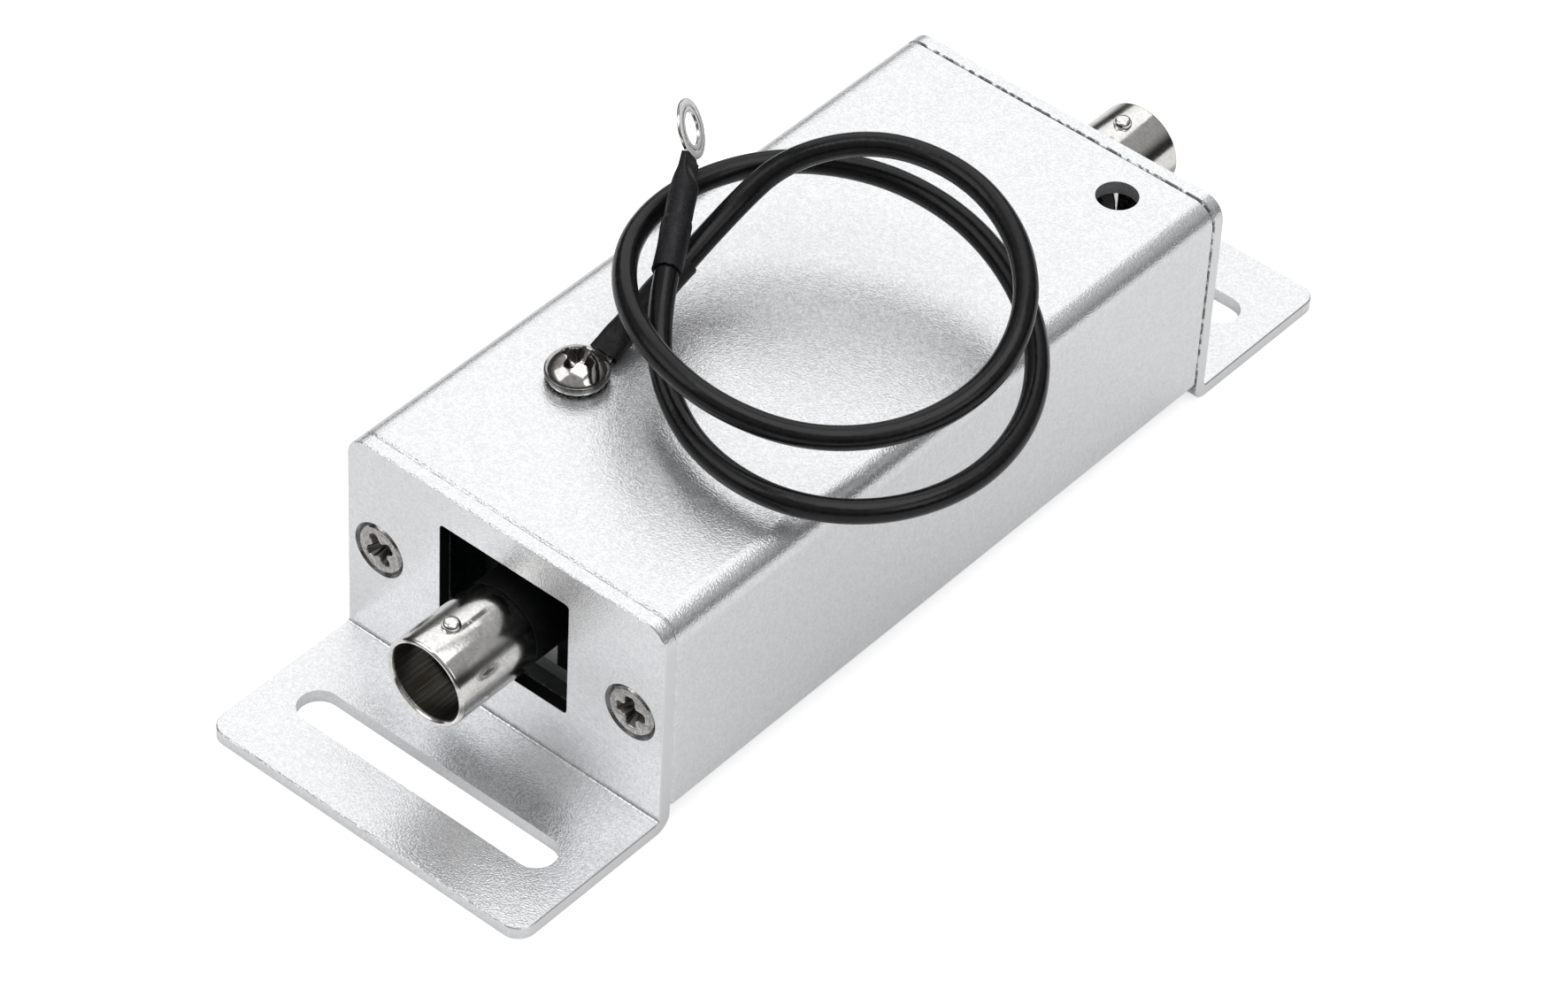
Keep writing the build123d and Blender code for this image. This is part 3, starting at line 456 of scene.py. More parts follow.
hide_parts("plate_screw_front_left", "plate_screw_front_right", "plate_screw_rear_left",
            "plate_screw_rear_right")


# Jack barrels: two bayonet barrels turned from brass and nickel plated, with two pressed-in locking
# pins, a rub mark behind one, a brushed bore darkened with painted shade and a waist in the body.
# The dark bands painted along them are painted reflections of what the plating mirrors.
JACK_AXIS = 0.01425
FRONT_RIM = -0.0526
REAR_RIM = 0.05485
REAR_ASIDE = 0.0003
BARREL_RADIUS = 0.0048
BARREL_BORE = 0.00415
BARREL_WAIST = 0.0043
BARREL_SHOULDER = 0.0104
PLUG_DEPTH = 0.009
SHELL_LENGTH = 0.01985
INSULATOR_RADIUS = 0.0032
PIN_RADIUS = 0.00095
PIN_HEIGHT = 0.00075
PIN_FROM_RIM = 0.0037
PIN_TOP = BARREL_RADIUS + PIN_HEIGHT
RUB_ANGLE = radians(10)
RUB_START, RUB_END = 0.0492, 0.0442
PAINTED_REFLECTION_BANDS = ((radians(-25), 0.16), (radians(57), 0.14), (radians(95), 0.17))
nickel = surface("satin_nickel", (0.84, 0.825, 0.80), 1.0, 0.14, 0.0003, 0.000004, 0.08, 0.3)
plating = nickel.node_tree
across, along, up = parts_node(plating)
above = math_node(plating, "SUBTRACT", up, JACK_AXIS)
angle = math_node(plating, "ARCTAN2", across, above)
from_axis = distance_node(plating, across, above)
brushed = vector_node(plating, math_node(plating, "MULTIPLY", angle, 0.02),
                      math_node(plating, "MULTIPLY", along, 0.12), 0.0)
streaks = noise_node(plating, brushed, 0.0009, 2.0)
unrolled = vector_node(plating, angle, math_node(plating, "MULTIPLY", along, 400.0), 0.0)
patches = noise_node(plating, unrolled, 0.3, 3.0)
off_rub = math_node(plating, "ABSOLUTE", math_node(plating, "SUBTRACT", angle, RUB_ANGLE))
rubbed = math_node(plating, "MULTIPLY", fade_node(plating, off_rub, 0.03, 0.075, 1.0, 0.0),
                   fade_node(plating, patches, 0.26, 0.42, 0.0, 0.9))
outwards = math_node(plating, "ABSOLUTE", along)
for start, end, low, high in ((RUB_START - 0.001, RUB_START, 1.0, 0.0),
                              (RUB_END, RUB_END + 0.0014, 0.0, 1.0)):
    rubbed = math_node(plating, "MULTIPLY", rubbed, fade_node(plating, outwards, start, end, low, high))
# Painted reflection: dark bands at set angles round each barrel.
for middle, width in PAINTED_REFLECTION_BANDS:
    off_band = math_node(plating, "ABSOLUTE", math_node(plating, "SUBTRACT", angle, middle))
    off_band = math_node(plating, "ADD", off_band, math_node(plating, "MULTIPLY", patches, 0.1))
    painted_reflection = fade_node(plating, off_band, width * 0.4, width * 1.5, 0.8, 0.0)
    overlay(nickel, painted_reflection, (0.24, 0.235, 0.225), 0.2)
overlay(nickel, rubbed, (0.1, 0.095, 0.09), 0.4)
# Painted shade: the bore is darkened, with paler brushed streaks over it.
in_bore = math_node(plating, "LESS_THAN", from_axis, BARREL_BORE + 0.0001)
overlay(nickel, in_bore, (0.2, 0.193, 0.18), 0.32)
overlay(nickel, math_node(plating, "MULTIPLY", in_bore, fade_node(plating, streaks, 0.4, 0.7, 0.0, 0.7)),
        (0.55, 0.54, 0.51), 0.26)
barrel = lathe(rounded([(BARREL_BORE, PLUG_DEPTH * 0.5), (BARREL_BORE, 0.0004), (BARREL_BORE + 0.00022, 0),
                        (BARREL_RADIUS - 0.0002, 0), (BARREL_RADIUS, 0.00024),
                        (BARREL_RADIUS, BARREL_SHOULDER - 0.0002), (BARREL_RADIUS - 0.00025, BARREL_SHOULDER),
                        (BARREL_WAIST, BARREL_SHOULDER), (BARREL_WAIST, SHELL_LENGTH),
                        (INSULATOR_RADIUS, SHELL_LENGTH), (INSULATOR_RADIUS, PLUG_DEPTH),
                        (BARREL_BORE, PLUG_DEPTH), (BARREL_BORE, PLUG_DEPTH * 0.75)], 0.0001, 3), 128)
pin_profile = rounded([(0, BARREL_BORE + 0.0002), (PIN_RADIUS, BARREL_BORE + 0.0002),
                       (PIN_RADIUS, PIN_TOP - 0.00045), (PIN_RADIUS * 0.8, PIN_TOP - 0.0001),
                       (PIN_RADIUS * 0.4, PIN_TOP), (0, PIN_TOP)], 0.0003, 5)
for turn in (0, 180):
    pin = lathe(pin_profile, 48)
    pin.transform(Matrix.Translation((0, 0, PIN_FROM_RIM)) @ Matrix.Rotation(radians(turn), 4, "Z")
                  @ Matrix.Rotation(radians(90), 4, "X"))
    join(barrel, pin)
jack_barrels = as_object("jack_barrels", barrel, nickel)
jack_tree, given, result = node_tree("barrel_at_each_end", Front=FRONT_RIM, Rear=REAR_RIM, Aside=REAR_ASIDE,
                                     Axis=JACK_AXIS)
both = jack_tree.nodes.new("GeometryNodeJoinGeometry")
for socket, turn, aside in (("Front", (-90, 0, 0), 0), ("Rear", (-90, 0, 180), given.outputs["Aside"])):
    seat = jack_tree.nodes.new("GeometryNodeTransform")
    seat.inputs["Rotation"].default_value = [radians(a) for a in turn]
    jack_tree.links.new(given.outputs["Geometry"], seat.inputs["Geometry"])
    jack_tree.links.new(vector_node(jack_tree, aside, given.outputs[socket], given.outputs["Axis"]),
                        seat.inputs["Translation"])
    jack_tree.links.new(seat.outputs["Geometry"], both.inputs["Geometry"])
apply_tree(jack_barrels, jack_tree, both.outputs["Geometry"], result, nickel)
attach(jack_barrels, "root")
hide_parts("front_jack_shell", "rear_jack_shell")


# Ground tabs: each barrel's flat tinned tab, stamped with a round cut that is soldered to the
# waist, and standing on the board inside the window.
TAB_WIDTH = 0.005
TAB_THICKNESS = 0.0005
TAB_FROM_RIM = 0.01575
BOARD_TOP = 0.007
tab_mesh = bmesh.new()
for rim, aside, facing in ((FRONT_RIM, 0, 1), (REAR_RIM, REAR_ASIDE, -1)):
    outline = [(-TAB_WIDTH / 2, BOARD_TOP), (TAB_WIDTH / 2, BOARD_TOP)]
    outline += [(BARREL_WAIST * sin(a), JACK_AXIS - BARREL_WAIST * cos(a))
                for a in [radians(35.5 - 7.1 * i) for i in range(11)]]
    near, far = rim + facing * TAB_FROM_RIM, rim + facing * (TAB_FROM_RIM + TAB_THICKNESS)
    loops = [[tab_mesh.verts.new((aside + x, y, z)) for x, z in outline] for y in (near, far)]
    tab_mesh.faces.new(loops[0])
    tab_mesh.faces.new(reversed(loops[1]))
    for i in range(len(outline)):
        j = (i + 1) % len(outline)
        tab_mesh.faces.new((loops[0][i], loops[1][i], loops[1][j], loops[0][j]))
bmesh.ops.recalc_face_normals(tab_mesh, faces=tab_mesh.faces)
tab_tin = surface("tinned_ground_tab", (0.95, 0.95, 0.94), 0.0, 0.3, 0.0003, 0.00001, 0.05)
ground_tabs = as_object("ground_tabs", tab_mesh, tab_tin)
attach(ground_tabs, "root")


# Jack bodies: a black block moulded in glass-filled nylon holds each barrel. A round nose grips the
# barrel's waist and comes a little out of the window, and two pegs locate the block in the board.
JACK_FACE = -0.03675
BLOCK_SIDE = 0.0145
BLOCK_TOP = 0.0213
NOSE_RADIUS = 0.0047
NOSE_FRONT = FRONT_RIM + BARREL_SHOULDER
PEG_ACROSS = 0.005
PEG_RADIUS, PEG_FOOT = 0.001, -0.002
block = bmesh.new()
bmesh.ops.create_cube(block, size=1, matrix=Matrix.Translation(
    (0, JACK_FACE + BLOCK_SIDE / 2, (BOARD_TOP + BLOCK_TOP) / 2)) @ Matrix.Diagonal(
    (BLOCK_SIDE, BLOCK_SIDE, BLOCK_TOP - BOARD_TOP, 1)))
upright = [e for e in block.edges if abs(e.verts[0].co.z - e.verts[1].co.z) > 0.001]
bmesh.ops.bevel(block, geom=upright, offset=0.0005, segments=4, affect="EDGES")
brim = [e for e in block.edges if min(v.co.z for v in e.verts) > BLOCK_TOP - 0.0001]
bmesh.ops.bevel(block, geom=brim, offset=0.0003, segments=2, affect="EDGES")
along_bore = Matrix.Translation((0, NOSE_FRONT, JACK_AXIS)) @ Matrix.Rotation(-pi / 2, 4, "X")
seat_depth = FRONT_RIM + SHELL_LENGTH - NOSE_FRONT
bore = lathe([(0, 0), (BARREL_WAIST, 0), (BARREL_WAIST, seat_depth), (0, seat_depth)], 96)
bore.transform(along_bore)
black_moulding = surface("black_moulding", (0.006, 0.006, 0.007), 0.0, 0.55, 0.0004, 0.00002, 0.25,
                         shine=0.2)
jack_bodies = recessed("jack_bodies", block, bore, 0.00008, black_moulding)
moulding = bmesh.new()
moulding.from_mesh(jack_bodies.data)
reach = JACK_FACE - NOSE_FRONT + 0.0002
nose = lathe(rounded([(BARREL_WAIST, reach / 2), (BARREL_WAIST, 0), (NOSE_RADIUS, 0), (NOSE_RADIUS, reach),
                      (BARREL_WAIST, reach), (BARREL_WAIST, reach * 0.75)], 0.00015), 96)
nose.transform(along_bore)
join(moulding, nose)
for side in (-1, 1):
    peg = lathe(rounded([(0, PEG_FOOT), (PEG_RADIUS, PEG_FOOT), (PEG_RADIUS, 0.0001), (0, 0.0001)],
                        0.0002), 32)
    peg.transform(Matrix.Translation((side * PEG_ACROSS, JACK_FACE + BLOCK_SIDE / 2 + 0.004, BOARD_TOP)))
    join(moulding, peg)
rear_body = moulding.copy()
rear_body.transform(Matrix.Translation((REAR_ASIDE, FRONT_RIM + REAR_RIM, 0)) @ Matrix.Rotation(pi, 4, "Z"))
join(moulding, rear_body)
moulding.to_mesh(jack_bodies.data)
moulding.free()
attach(jack_bodies, "root")
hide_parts("front_jack_body", "rear_jack_body")


# Insulators and contacts: a white fluoropolymer bush sits in each barrel, and a gilt socket runs
# through the bush.
dress(surface("white_bush", (0.62, 0.61, 0.58), 0.0, 0.5, 0.0005, 0.00001, 0.06),
      "front_jack_insulator", "rear_jack_insulator")
dress(surface("gilt_socket", (0.78, 0.56, 0.26), 1.0, 0.3, 0.0004, 0.00001, 0.1),
      "front_jack_contact", "rear_jack_contact")


# Circuit board: glass-fibre sheet with a green solder mask, sawn to size, so that the paler
# glass shows along its edges.
board_mask = surface("board_mask", (0.04, 0.10, 0.075), 0.0, 0.42, 0.0006, 0.00002, 0.2)
upwards = axes_node(board_mask.node_tree, "Normal")[2]
overlay(board_mask, math_node(board_mask.node_tree, "LESS_THAN", upwards, 0.5), (0.46, 0.52, 0.49), 0.6)
dress(board_mask, "circuit_board")


# Gas discharge tube: a white ceramic ring brazed between two nickel-plated caps, on tinned
# leads that are bent down and soldered into the board.
tube_skin = surface("tube_ceramic", (0.80, 0.78, 0.74), 0.0, 0.4, 0.0005, 0.00001, 0.06)
TUBE_CAP = 0.0018
across = axes_node(tube_skin.node_tree)[0]
overlay(tube_skin, math_node(tube_skin.node_tree, "GREATER_THAN", across, TUBE_CAP),
        (0.55, 0.545, 0.53), 0.28)
dress(tube_skin, "gas_discharge_tube")


# Surge diodes: barrels moulded in black epoxy, with a pale band at the cathode, on tinned leads
# that are bent down and soldered into the board.
diode_skin = surface("diode_epoxy", (0.02, 0.02, 0.021), 0.0, 0.4, 0.0004, 0.00002, 0.2)
diode = diode_skin.node_tree
DIODE_LEAD = 0.00262
across = axes_node(diode)[0]
cathode = math_node(diode, "COMPARE", parts_node(diode)["X"], 0.0014)
cathode.node.inputs[2].default_value = 0.0004
overlay(diode_skin, cathode, (0.62, 0.62, 0.6), 0.45)
overlay(diode_skin, math_node(diode, "GREATER_THAN", across, DIODE_LEAD), (0.7, 0.7, 0.68), 0.3)
dress(diode_skin, "surge_diode_1", "surge_diode_2")


# Series resistors: lacquered barrels with one colour band on each cap, on tinned leads that
# are bent down and soldered into the board.
resistor_skin = surface("resistor_lacquer", (0.16, 0.36, 0.42), 0.0, 0.3, 0.0004, 0.00001, 0.1)
resistor = resistor_skin.node_tree
RESISTOR_BAND = 0.0025
RESISTOR_LEAD = 0.00332
across = axes_node(resistor)[0]
colour_band = math_node(resistor, "COMPARE", across, RESISTOR_BAND)
colour_band.node.inputs[2].default_value = 0.00035
overlay(resistor_skin, colour_band, (0.30, 0.09, 0.02), 0.3)
overlay(resistor_skin, math_node(resistor, "GREATER_THAN", across, RESISTOR_LEAD), (0.7, 0.7, 0.68), 0.3)
dress(resistor_skin, "series_resistor_1", "series_resistor_2")


# Earth strap and ground nut: a tinned copper strip from the board up to the top wall, clamped
# there by a nickel-plated hexagon nut.
dress(surface("strap_tin", (0.75, 0.75, 0.73), 1.0, 0.35, 0.0004, 0.00001, 0.08), "earth_strap")
bright_screw = surface("bright_screw", (0.74, 0.73, 0.715), 1.0, 0.14, 0.0006, 0.000008, 0.08, 0.35)
dress(bright_screw, "ground_nut")


# Ground screw: a nickel-plated M3 pan-head screw with a wide cross recess, tightened through
# the washers and the ring terminal into the nut under the top wall.
STUD = Vector((-0.0093, -0.02135, 0.026))
TOOTH_WASHER = 0.0004
EYE_THICKNESS = 0.00035
WASHER = 0.00065
STACK = TOOTH_WASHER + EYE_THICKNESS + WASHER
HEAD_RADIUS = 0.00305
HEAD_HEIGHT = 0.0017
STUD_RADIUS = 0.0015
STUD_LENGTH = 0.0075
HEAD_RIM = 0.00015
DOME = (HEAD_RADIUS ** 2 + (HEAD_HEIGHT - HEAD_RIM) ** 2) / (2 * (HEAD_HEIGHT - HEAD_RIM))
DOME_CENTRE = STACK + HEAD_HEIGHT - DOME
half_angle = asin(HEAD_RADIUS / DOME)
dome = [(DOME * sin(a), DOME_CENTRE + DOME * cos(a)) for a in [half_angle * (1 - i / 14) for i in range(14)]]
head = lathe([(0, STACK - STUD_LENGTH), (STUD_RADIUS - 0.0004, STACK - STUD_LENGTH),
              (STUD_RADIUS, STACK - STUD_LENGTH + 0.0004), (STUD_RADIUS, STACK),
              (HEAD_RADIUS - 0.00012, STACK)] + dome + [(0, STACK + HEAD_HEIGHT)], 96)
pan_nickel = surface("worn_screw_nickel", (0.66, 0.64, 0.62), 1.0, 0.12, 0.0005, 0.00001, 0.15, 0.35)
pan = pan_nickel.node_tree
across, along, up = parts_node(pan)
from_stud = distance_node(pan, math_node(pan, "SUBTRACT", across, STUD.x),
                          math_node(pan, "SUBTRACT", along, STUD.y))
from_centre = distance_node(pan, from_stud, math_node(pan, "SUBTRACT", up, STUD.z + DOME_CENTRE))
# Painted shade: the inside of the cross recess is darkened.
pan_recess_shade = math_node(pan, "MULTIPLY", math_node(pan, "LESS_THAN", from_centre, DOME - 0.00012),
                       math_node(pan, "GREATER_THAN", up, STUD.z + STACK + 0.0001))
overlay(pan_nickel, pan_recess_shade, (0.12, 0.112, 0.105), 0.25)
punch = cross_cutter(STACK + HEAD_HEIGHT, 0.0021, 0.00062, 0.0015, 0.0004)
punch.transform(Matrix.Rotation(radians(5), 4, "Z"))
ground_screw = recessed("pan_head_screw", head, punch, 0.00007, pan_nickel)
ground_screw.data.transform(Matrix.Translation(STUD))
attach(ground_screw, "root")
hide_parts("ground_screw")


# Flat washer: stamped from steel and nickel plated, with a rounded rim, clamped between the
# screw's head and the ring terminal.
WASHER_RADIUS = 0.0032
WASHER_BORE = STUD_RADIUS + 0.0001
washer_nickel = surface("dull_washer_nickel", (0.26, 0.255, 0.25), 1.0, 0.25, 0.0003, 0.00001, 0.2, 0.3)
washer = lathe(rounded([(WASHER_BORE, STACK - WASHER / 2), (WASHER_BORE, STACK - WASHER),
                        (WASHER_RADIUS, STACK - WASHER), (WASHER_RADIUS, STACK), (WASHER_BORE, STACK),
                        (WASHER_BORE, STACK - WASHER * 0.4)], 0.00022), 96)
flat_washer = as_object("plain_washer", washer, washer_nickel)
flat_washer.data.transform(Matrix.Translation(STUD))
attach(flat_washer, "root")
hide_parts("flat_washer")


# Tooth washer: spring steel with teeth twisted out of its rim, which cut through the anodised
# skin under the terminal. Its teeth follow one rule round the rim.
TEETH = 18
TOOTH_LONG, TOOTH_WIDE, TOOTH_THICK = 0.0011, 0.00062, 0.00022
tooth = bmesh.new()
bmesh.ops.create_cube(tooth, size=1, matrix=Matrix.Diagonal((TOOTH_LONG, TOOTH_WIDE, TOOTH_THICK, 1)))
bmesh.ops.bevel(tooth, geom=tooth.edges[:], offset=0.00004, segments=1, affect="EDGES")
washer_steel = surface("tooth_washer_steel", (0.11, 0.106, 0.102), 1.0, 0.35, 0.0002, 0.00001, 0.2, 0.3)
tooth_washer = as_object("toothed_washer", tooth, washer_steel)
tooth_tree, given, result = node_tree("teeth_round_a_rim", Teeth=TEETH, Rim=WASHER_RADIUS - 0.00065,
                                      Bore=WASHER_BORE, Twist=radians(24), Thickness=0.00024)
circle = tooth_tree.nodes.new("GeometryNodeMeshCircle")
tooth_tree.links.new(given.outputs["Teeth"], circle.inputs["Vertices"])
tooth_tree.links.new(given.outputs["Rim"], circle.inputs["Radius"])
place_teeth = tooth_tree.nodes.new("GeometryNodeInstanceOnPoints")
index = tooth_tree.nodes.new("GeometryNodeInputIndex")
around = math_node(tooth_tree, "DIVIDE", math_node(tooth_tree, "MULTIPLY", index.outputs[0], tau),
                   given.outputs["Teeth"])
spin = tooth_tree.nodes.new("FunctionNodeEulerToRotation")
tooth_tree.links.new(vector_node(tooth_tree, given.outputs["Twist"], 0.0, around), spin.inputs["Euler"])
tooth_tree.links.new(circle.outputs["Mesh"], place_teeth.inputs["Points"])
tooth_tree.links.new(given.outputs["Geometry"], place_teeth.inputs["Instance"])
tooth_tree.links.new(spin.outputs["Rotation"], place_teeth.inputs["Rotation"])
band = tooth_tree.nodes.new("GeometryNodeCurvePrimitiveCircle")
band.inputs["Resolution"].default_value = 72
width = math_node(tooth_tree, "SUBTRACT", given.outputs["Rim"], given.outputs["Bore"])
middle = math_node(tooth_tree, "ADD", given.outputs["Bore"], math_node(tooth_tree, "DIVIDE", width, 2.0))
tooth_tree.links.new(middle, band.inputs["Radius"])
section = tooth_tree.nodes.new("GeometryNodeCurvePrimitiveQuadrilateral")
tooth_tree.links.new(given.outputs["Thickness"], section.inputs["Width"])
tooth_tree.links.new(width, section.inputs["Height"])
rim = tooth_tree.nodes.new("GeometryNodeCurveToMesh")
tooth_tree.links.new(band.outputs["Curve"], rim.inputs["Curve"])
tooth_tree.links.new(section.outputs["Curve"], rim.inputs["Profile Curve"])
whole_washer = tooth_tree.nodes.new("GeometryNodeJoinGeometry")
tooth_tree.links.new(place_teeth.outputs["Instances"], whole_washer.inputs["Geometry"])
tooth_tree.links.new(rim.outputs["Mesh"], whole_washer.inputs["Geometry"])
apply_tree(tooth_washer, tooth_tree, whole_washer.outputs["Geometry"], result, washer_steel)
tooth_washer.data.transform(Matrix.Translation(STUD + Vector((0, 0, TOOTH_WASHER / 2))))
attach(tooth_washer, "root")
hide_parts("tooth_washer")


# Ring terminals: stamped from copper strip and tinned, each with an eye that a coined groove
# runs round, a narrow neck, and a rolled barrel that is crimped on the wire under the sleeve.
EYE_RADIUS = 0.003
EYE_HOLE = 0.00165
EYE_GROOVE = 0.00217
NECK_WIDTH = 0.0024
CRIMP_RADIUS = 0.00115
LUG_TILT = radians(20.5)
tin = surface("tinned_terminal", (0.80, 0.80, 0.79), 1.0, 0.26, 0.0005, 0.00001, 0.06, 0.3)


def stand_at(origin, across, along):
    """A frame with X across, Y along and Z square to both."""
    across, along = across.normalized(), along.normalized()
    return Matrix.Translation(origin) @ Matrix((across, along, across.cross(along))).transposed().to_4x4()


def ring_terminal(name, eye, bend, neck, node):
    """The eye's and the crimp's frames; the neck runs from one to the other past its bend."""
    half, edge, dip = EYE_THICKNESS / 2, 0.00009, 0.00009
    disc = [(EYE_HOLE, 0), (EYE_HOLE, -half), (EYE_GROOVE - dip, -half), (EYE_GROOVE, dip - half),
            (EYE_GROOVE + dip, -half), (EYE_RADIUS, -half), (EYE_RADIUS, half), (EYE_GROOVE + dip, half),
            (EYE_GROOVE, half - dip), (EYE_GROOVE - dip, half), (EYE_HOLE, half), (EYE_HOLE, half * 0.3)]
    mesh = lathe(rounded(disc, edge, 3), 96)
    mesh.transform(eye)
    strip = bmesh.new()
    wide, flat = NECK_WIDTH / 2, half - 0.00002
    bevelled = [(wide - edge, flat), (wide, flat - edge), (wide, edge - flat), (wide - edge, -flat),
                (edge - wide, -flat), (-wide, edge - flat), (-wide, flat - edge), (edge - wide, flat)]
    rings = []
    for stand, at in ((eye, 0.0021), (eye, neck - 0.0002), (bend, 0.0002), (bend, 0.0012), (bend, 0.0038)):
        rings.append([strip.verts.new(stand @ Vector((x, at, z))) for x, z in bevelled])
    for near, far in zip(rings, rings[1:]):
        for i in range(8):
            strip.faces.new((near[i], near[(i + 1) % 8], far[(i + 1) % 8], far[i]))
    strip.faces.new(rings[0])
    strip.faces.new(rings[-1])
    bmesh.ops.recalc_face_normals(strip, faces=strip.faces)
    join(mesh, strip)
    crimp = lathe([(0, 0.0034), (CRIMP_RADIUS - 0.0002, 0.0034), (CRIMP_RADIUS, 0.0036),
                   (CRIMP_RADIUS, 0.0074), (0, 0.0074)], 32)
    crimp.transform(bend @ Matrix.Rotation(-pi / 2, 4, "X"))
    join(mesh, crimp)
    piece = as_object(name, mesh, tin, 30)
    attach(piece, "root")
    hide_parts(node)
    return piece


NECK = WASHER_RADIUS + 0.0001
RIGHT, REAR = Vector((1, 0, 0)), Vector((0, 1, 0))
inner_eye = STUD + Vector((0, 0, TOOTH_WASHER + EYE_THICKNESS / 2))
inner_bend = inner_eye + REAR * NECK
inner_along = Vector((0, cos(LUG_TILT), sin(LUG_TILT)))
ring_terminal("screwed_terminal", stand_at(inner_eye, RIGHT, REAR), stand_at(inner_bend, RIGHT, inner_along),
              NECK, "inner_ring_terminal")
WIRE_END = STUD + Vector((0.00238, 0.00985, 0.0086))
OUTER_UP = Vector((-0.5058, 0.8184, 0.2722)).normalized()
EYE_UP = Vector((-0.6084, 0.6866, 0.3982)).normalized()
FACING = Vector((0.7875, 0.4621, 0.4065))
EYE_ACROSS = FACING.cross(EYE_UP).normalized()
ACROSS = FACING.cross(OUTER_UP).normalized()
OUTER_SLEEVE = 0.01305
SLEEVE_START = 0.0004
outer_bend = WIRE_END + OUTER_UP * (OUTER_SLEEVE + SLEEVE_START)
outer_eye = outer_bend + EYE_UP * (EYE_RADIUS - 0.0001)
outer_terminal = ring_terminal("free_terminal", stand_at(outer_eye, EYE_ACROSS, -EYE_UP),
                               stand_at(outer_bend, ACROSS, -OUTER_UP), EYE_RADIUS - 0.0001,
                               "outer_ring_terminal")


# Heat-shrink sleeves: black polyolefin tube shrunk over each terminal's neck and barrel and over
# the wire, flat where the neck is flat, ridged where the barrel ends, dull and slightly wrinkled.
INNER_SLEEVE = 0.0122
SLEEVE_WALL = 0.00022
sleeve_black = surface("heat_shrink", (0.009, 0.009, 0.011), 0.0, 0.5, 0.0003, 0.00006, 0.35, 0.25, 0.3)


def shrink_sleeve(name, stand, sections, seed, node):
    """A thin wrinkled tube through sections of distance, half width, half height and squareness."""
    mesh = bmesh.new()
    steps, count = 56, 72
    length = sections[-1][0]

    def ring(at, inset=0.0):
        for (d0, *a), (d1, *b) in zip(sections, sections[1:]):
            if d0 <= at <= d1:
                t = (at - d0) / (d1 - d0)
                t = t * t * (3 - 2 * t)
                wide, high, square = [p + (q - p) * t for p, q in zip(a, b)]
                break
        verts = []
        for i in range(steps):
            c, s = cos(tau * i / steps), sin(tau * i / steps)
            power = 2 / (2 + 2.2 * square)
            x = (wide - inset) * abs(c) ** power * (1 if c >= 0 else -1)
            z = (high - inset) * abs(s) ** power * (1 if s >= 0 else -1)
            swell = noise.noise(Vector((x * 900 + seed, at * 420, z * 900))) * 0.00006
            lip = at
            if at < 0.0002 or at > length - 0.0002:
                lip += noise.noise(Vector((c * 2.2 + seed, s * 2.2, at * 90))) * 0.00022
            verts.append(mesh.verts.new(stand @ Vector((x + swell * c, lip, z + swell * s))))
        return verts

    rings = [ring(length * i / count) for i in range(count + 1)]
    rings.append(ring(length, SLEEVE_WALL * 0.6))
    rings += [ring(length * i / count, SLEEVE_WALL) for i in range(count, -1, -8)]
    rings.append(ring(0, SLEEVE_WALL * 0.6))
    for near, far in zip(rings, rings[1:] + rings[:1]):
        for i in range(steps):
            j = (i + 1) % steps
            mesh.faces.new((near[i], near[j], far[j], far[i]))
    bmesh.ops.recalc_face_normals(mesh, faces=mesh.faces)
    piece = as_object(name, mesh, sleeve_black, 50)
    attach(piece, "root")
    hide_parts(node)
    return piece


shrink_sleeve("screwed_end_sleeve", stand_at(inner_bend + inner_along * SLEEVE_START, RIGHT, inner_along),
              [(0, 0.00160, 0.00068, 0.8), (0.0012, 0.00156, 0.00074, 0.7), (0.0036, 0.00146, 0.00142, 0.0),
               (0.0070, 0.00144, 0.00142, 0.0), (0.0076, 0.0015, 0.0015, 0.0),
               (0.0118, 0.00147, 0.00147, 0.0), (INNER_SLEEVE, 0.0015, 0.0015, 0.0)], 3.1, "inner_sleeve")
outer_sleeve = shrink_sleeve("free_end_sleeve",
                             stand_at(WIRE_END + OUTER_UP * OUTER_SLEEVE, ACROSS, -OUTER_UP),
                             [(0, 0.00145, 0.00047, 0.8), (0.0014, 0.00143, 0.00056, 0.7),
                              (0.0034, 0.00142, 0.00138, 0.0), (0.0066, 0.00142, 0.00140, 0.0),
                              (0.0071, 0.00138, 0.00136, 0.0), (0.0077, 0.0015, 0.0015, 0.0),
                              (0.0125, 0.00146, 0.00146, 0.0), (OUTER_SLEEVE, 0.0015, 0.0015, 0.0)],
                             8.7, "outer_sleeve")


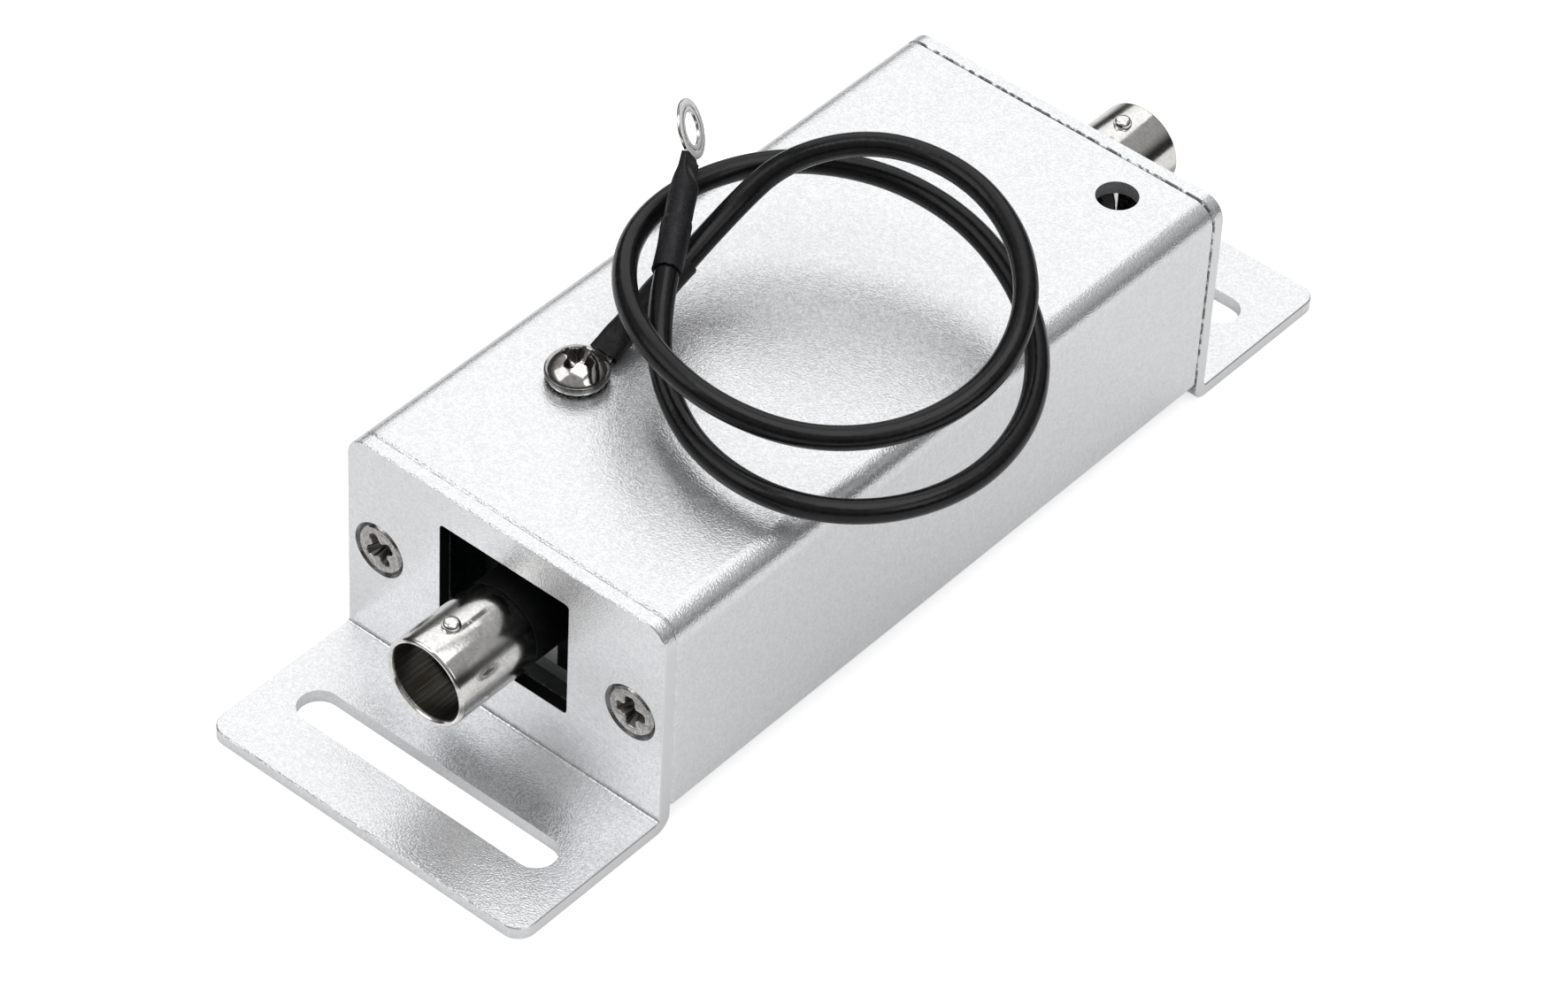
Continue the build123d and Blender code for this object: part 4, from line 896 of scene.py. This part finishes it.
# Ground wire: stranded copper in glossy black insulation, stiff enough to stand in two loose
# loops over the housing. Its line runs from the inner sleeve round both loops to the outer one.
WIRE_RADIUS = 0.00122
wire_start = inner_bend + inner_along * (SLEEVE_START + INNER_SLEEVE)
loops = [(0.0022, 0.02735, 0.012), (0.0083, 0.03375, 0.0139), (0.0172, 0.03605, 0.0136),
         (0.0262, 0.03305, 0.0128), (0.0329, 0.02655, 0.0112), (0.0351, 0.01815, 0.0086),
         (0.032, 0.00975, 0.0063), (0.0257, 0.00285, 0.0062), (0.0175, -0.00095, 0.008),
         (0.0086, -0.00005, 0.0092), (0.0007, 0.00495, 0.009), (-0.0044, 0.01275, 0.0084),
         (-0.0049, 0.02195, 0.0083), (-0.0005, 0.03005, 0.0087), (0.0074, 0.03495, 0.0087),
         (0.0165, 0.03615, 0.008), (0.0253, 0.03395, 0.0067), (0.0329, 0.02885, 0.0052),
         (0.0378, 0.02125, 0.0038), (0.0388, 0.01215, 0.0028), (0.0353, 0.00345, 0.0026),
         (0.028, -0.00215, 0.0027), (0.0185, -0.00265, 0.0027), (0.0102, 0.00095, 0.0034)]
route = [wire_start, wire_start + inner_along * 0.0069] + [STUD + Vector(p) for p in loops]
route += [WIRE_END - OUTER_UP * 0.0062, WIRE_END]
wire_line = bpy.data.curves.new("ground_lead", "CURVE")
wire_line.dimensions = "3D"
wire_line.bevel_depth = WIRE_RADIUS
wire_line.bevel_resolution = 10
wire_line.resolution_u = 16
wire_line.use_fill_caps = True
spline = wire_line.splines.new("NURBS")
spline.points.add(len(route) - 1)
for point, at in zip(spline.points, route):
    point.co = (*at, 1)
spline.order_u = 3
spline.use_endpoint_u = True
ground_wire = bpy.data.objects.new("ground_lead", wire_line)
bpy.context.collection.objects.link(ground_wire)
wire_black = surface("black_insulation", (0.006, 0.006, 0.007), 0.0, 0.24, 0.0006, 0.00002, 0.25, 0.25, 0.3)
wire_line.materials.append(wire_black)
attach(ground_wire, "root")
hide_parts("ground_wire")
